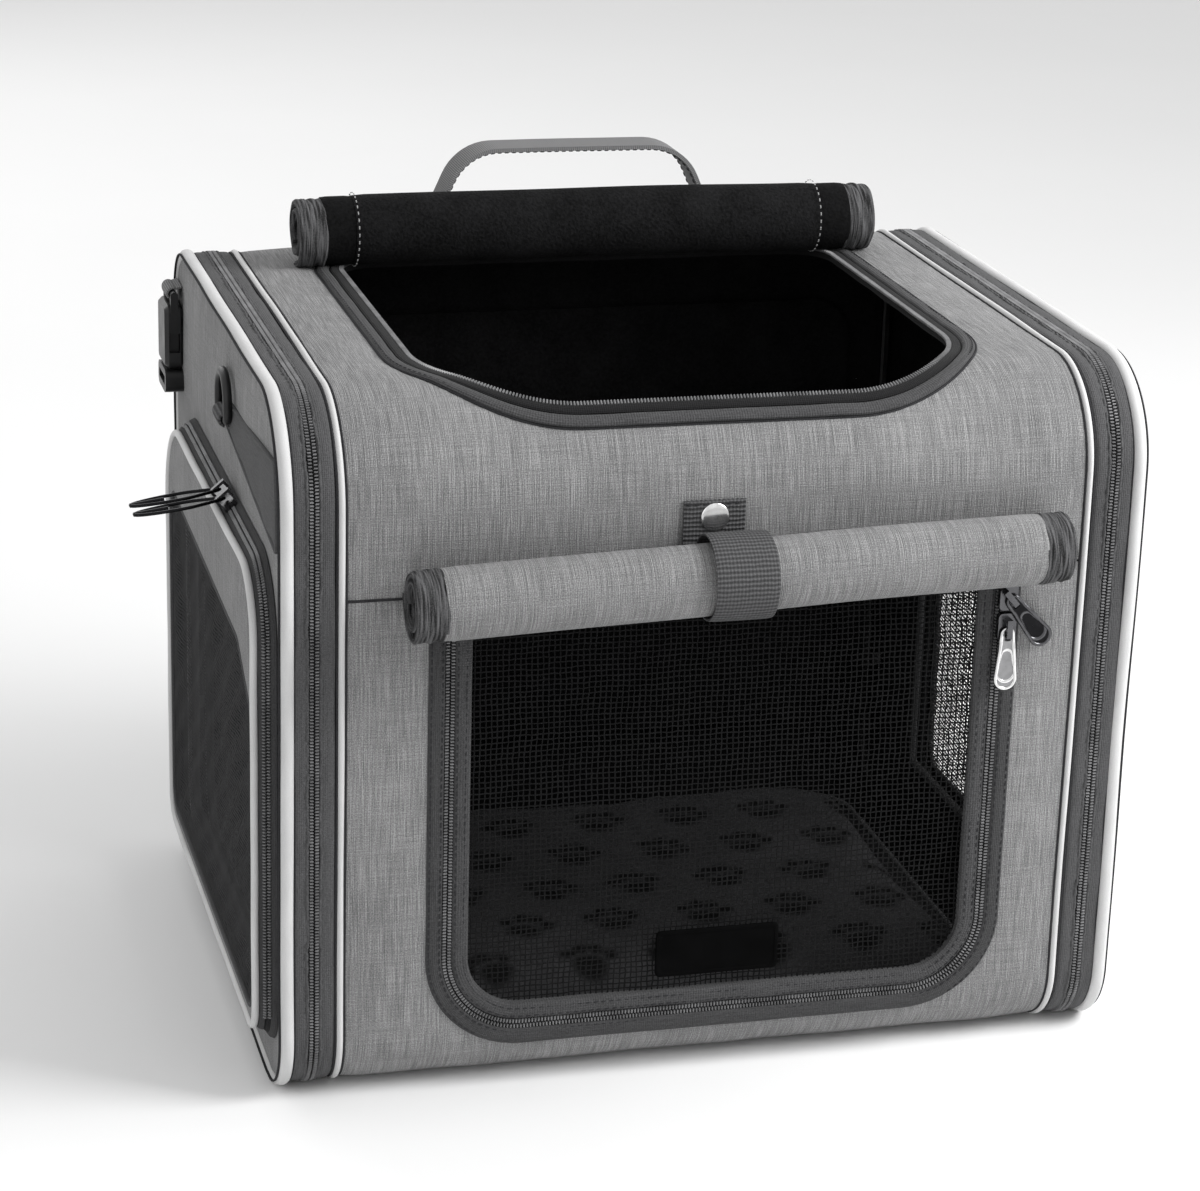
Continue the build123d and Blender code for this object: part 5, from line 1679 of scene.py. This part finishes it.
class BASKET_OT_bar_straps(Maker, bpy.types.Operator):
    """Sew the loops for the handlebar and the head tube"""

    bl_idname = "basket.bar_straps"
    bl_label = "Bar straps"

    def make(self, sizes):
        flaps = {"handlebar_left": ("left_bar_strap_flap", "left_bar_flap"),
                 "handlebar_right": ("right_bar_strap_flap", "right_bar_flap"),
                 "head_tube": ("head_strap_flap", "head_flap")}
        bar_loops, head_loop = Shape(), Shape()
        band = slab(-WEB_HALF, WEB_HALF, -0.85, 0.85, 0.1, 10, 0.25)
        for mount in frame["record"]["mounts"]:
            if mount["name"] not in flaps:
                continue
            flap_node, flap_body = flaps[mount["name"]]
            centre, inner = np.array(mount["pos_m"]) / MM, mount["dims"]["r_mm"]
            lying = mount["name"] == "head_tube"
            axis = np.array([0.0, 0.0, 1.0]) if lying else ACROSS
            side = -ACROSS if lying else np.array([0.0, 0.0, 1.0])
            shape, flap = head_loop if lying else bar_loops, Shape()
            for target, radius, start, end in ((shape, inner + 1, -60, 197), (flap, inner + 3.3, 204, 350)):
                turn = np.radians(np.linspace(start, end, 60))
                away = np.cos(turn)[:, None] * BACKWARD + np.sin(turn)[:, None] * side
                strap(target, centre + away * radius, axis, away, band)
            piece(f"{flap_node}_webbing", flap, ["ribbed_webbing"], body=flap_body,
                  stands_for=[flap_node])
            to_wall = BACKWARD * (BACK + 0.75 - centre[1])
            plate = [centre + side * aside + to_wall for aside in np.linspace(-14, 14, 6)]
            strap(shape, np.array(plate), axis, BACKWARD, slab(-WEB_HALF, WEB_HALF, -0.7, 0.7, 0.1, 10, 0.25))
            depths = np.linspace(BACK + 0.5, centre[1] - inner - 1, 5)
            stub = [centre + side * 5 + BACKWARD * (y - centre[1]) for y in depths]
            strap(shape, np.array(stub), axis, side, slab(-WEB_HALF, WEB_HALF, -5.6, 5.6, 0, 6, 0.4))
        piece("bar_loop_webbing", bar_loops, ["ribbed_webbing"],
              stands_for=["bar_strap_loops"])
        piece("head_loop_webbing", head_loop, ["ribbed_webbing"],
              stands_for=["head_strap_loop"])


def area_lamp(name, place, size, power):
    """Soft square lamp that points at the basket's middle."""
    data = bpy.data.lights.new(name, "AREA")
    data.shape, data.size, data.energy = "SQUARE", size, power
    lamp = bpy.data.objects.new(name, data)
    bpy.context.collection.objects.link(lamp)
    lamp.location = place
    lamp.rotation_mode = "QUATERNION"
    lamp.rotation_quaternion = (Vector(MIDDLE) - Vector(place)).to_track_quat("-Z", "Y")


class BASKET_OT_stage(bpy.types.Operator):
    """Set the floor, lamps and camera"""

    bl_idname = "basket.stage"
    bl_label = "Stage"

    def execute(self, context):
        scene, settings = context.scene, context.scene.basket_stage
        scene.view_settings.view_transform = "Standard"
        self.floor(scene, tuple(settings.floor))
        self.sky(scene, settings.sky)
        area_lamp("key_lamp", (0.95, -0.5, 0.95), 0.7, settings.key_power)
        area_lamp("fill_lamp", (-1.7, -1.5, 1.0), 1.4, settings.fill_power)
        area_lamp("back_lamp", (-0.6, 2.0, 1.4), 1.5, settings.back_power)
        self.camera(scene, settings)
        return {"FINISHED"}

    def floor(self, scene, colour):
        """Wide pale floor with a faint grain."""
        new = Finish("pale_floor", colour, roughness=0.75, on="Object")
        new.vary(new.noise(3.0, 3.0), (0.3, 0.985), (0.7, 1.0))
        mesh = bpy.data.meshes.new("floor")
        mesh.from_pydata([(-9, -9, 0), (9, -9, 0), (9, 9, 0), (-9, 9, 0)], [], [(0, 1, 2, 3)])
        mesh.materials.append(new.made)
        floor = bpy.data.objects.new("floor", mesh)
        scene.collection.objects.link(floor)

    def sky(self, scene, strength):
        """White world that lights the basket with a strength, and looks white itself."""
        world = bpy.data.worlds.new("soft_sky")
        world.use_nodes = True
        scene.world = world
        tree = world.node_tree
        back = tree.nodes["Background"]
        back.inputs["Color"].default_value = (1, 1, 1, 1)
        path = node(tree, "ShaderNodeLightPath").outputs
        seen = node(tree, "ShaderNodeMath", {0: path["Is Camera Ray"], 1: path["Is Glossy Ray"]}).outputs[0]
        seen = node(tree, "ShaderNodeMath", {0: seen, 1: path["Is Transmission Ray"]},
                    use_clamp=True).outputs[0]
        level = node(tree, "ShaderNodeMapRange", {0: seen, 3: strength, 4: 1.0}).outputs[0]
        tree.links.new(level, back.inputs["Strength"])

    def camera(self, scene, settings):
        """Camera that looks past the basket's middle, shifted a little to match the photo's frame."""
        a, e, roll = settings.azimuth, settings.elevation, settings.roll
        ahead = Vector((-sin(a) * cos(e), cos(a) * cos(e), -sin(e)))
        right = Vector((cos(a), sin(a), 0))
        above = right.cross(ahead)
        across = cos(roll) * right + sin(roll) * above
        above = cos(roll) * above - sin(roll) * right
        left, over = CAMERA_SHIFT
        spot = Vector(MIDDLE) - across * left + above * over - ahead * settings.distance
        data = bpy.data.cameras.new("camera")
        data.sensor_width, data.lens = 36, settings.lens
        data.clip_start, data.clip_end = 0.05, 50
        camera = bpy.data.objects.new("camera", data)
        scene.collection.objects.link(camera)
        camera.matrix_world = Matrix((
            (across.x, above.x, -ahead.x, spot.x), (across.y, above.y, -ahead.y, spot.y),
            (across.z, above.z, -ahead.z, spot.z), (0, 0, 0, 1)))
        scene.camera = camera


OPERATORS = (
    BASKET_OT_stage, BASKET_OT_wall_cloth, BASKET_OT_ends, BASKET_OT_pipings, BASKET_OT_zips,
    BASKET_OT_front_window, BASKET_OT_top_edge, BASKET_OT_rolls, BASKET_OT_roll_strap,
    BASKET_OT_front_pulls, BASKET_OT_side_doors, BASKET_OT_ring_tabs, BASKET_OT_buckles,
    BASKET_OT_floor_pad, BASKET_OT_handle, BASKET_OT_bar_straps,
)


class BASKET_PT_panel(bpy.types.Panel):
    """Lists the basket's settings and the operators that make its pieces"""

    bl_idname = "BASKET_PT_panel"
    bl_label = "Dog Bicycle Basket"
    bl_space_type = "VIEW_3D"
    bl_region_type = "UI"
    bl_category = "Basket"

    def draw(self, context):
        layout = self.layout
        for group in (context.scene.basket_colours, context.scene.basket_sizes, context.scene.basket_stage):
            box = layout.box()
            for name in group.__annotations__:
                box.prop(group, name)
        for operator in OPERATORS:
            layout.operator(operator.bl_idname)


CLASSES = (BasketColours, BasketSizes, BasketStage, *OPERATORS, BASKET_PT_panel)


def register():
    for each in CLASSES:
        bpy.utils.register_class(each)
    bpy.types.Scene.basket_colours = bpy.props.PointerProperty(type=BasketColours)
    bpy.types.Scene.basket_sizes = bpy.props.PointerProperty(type=BasketSizes)
    bpy.types.Scene.basket_stage = bpy.props.PointerProperty(type=BasketStage)


def unregister():
    del bpy.types.Scene.basket_stage
    del bpy.types.Scene.basket_sizes
    del bpy.types.Scene.basket_colours
    for each in reversed(CLASSES):
        bpy.utils.unregister_class(each)


def main():
    """Make the whole basket."""
    register()
    for operator in OPERATORS:
        group, name = operator.bl_idname.split(".")
        getattr(getattr(bpy.ops, group), name)()


if __name__ == "__main__":
    main()
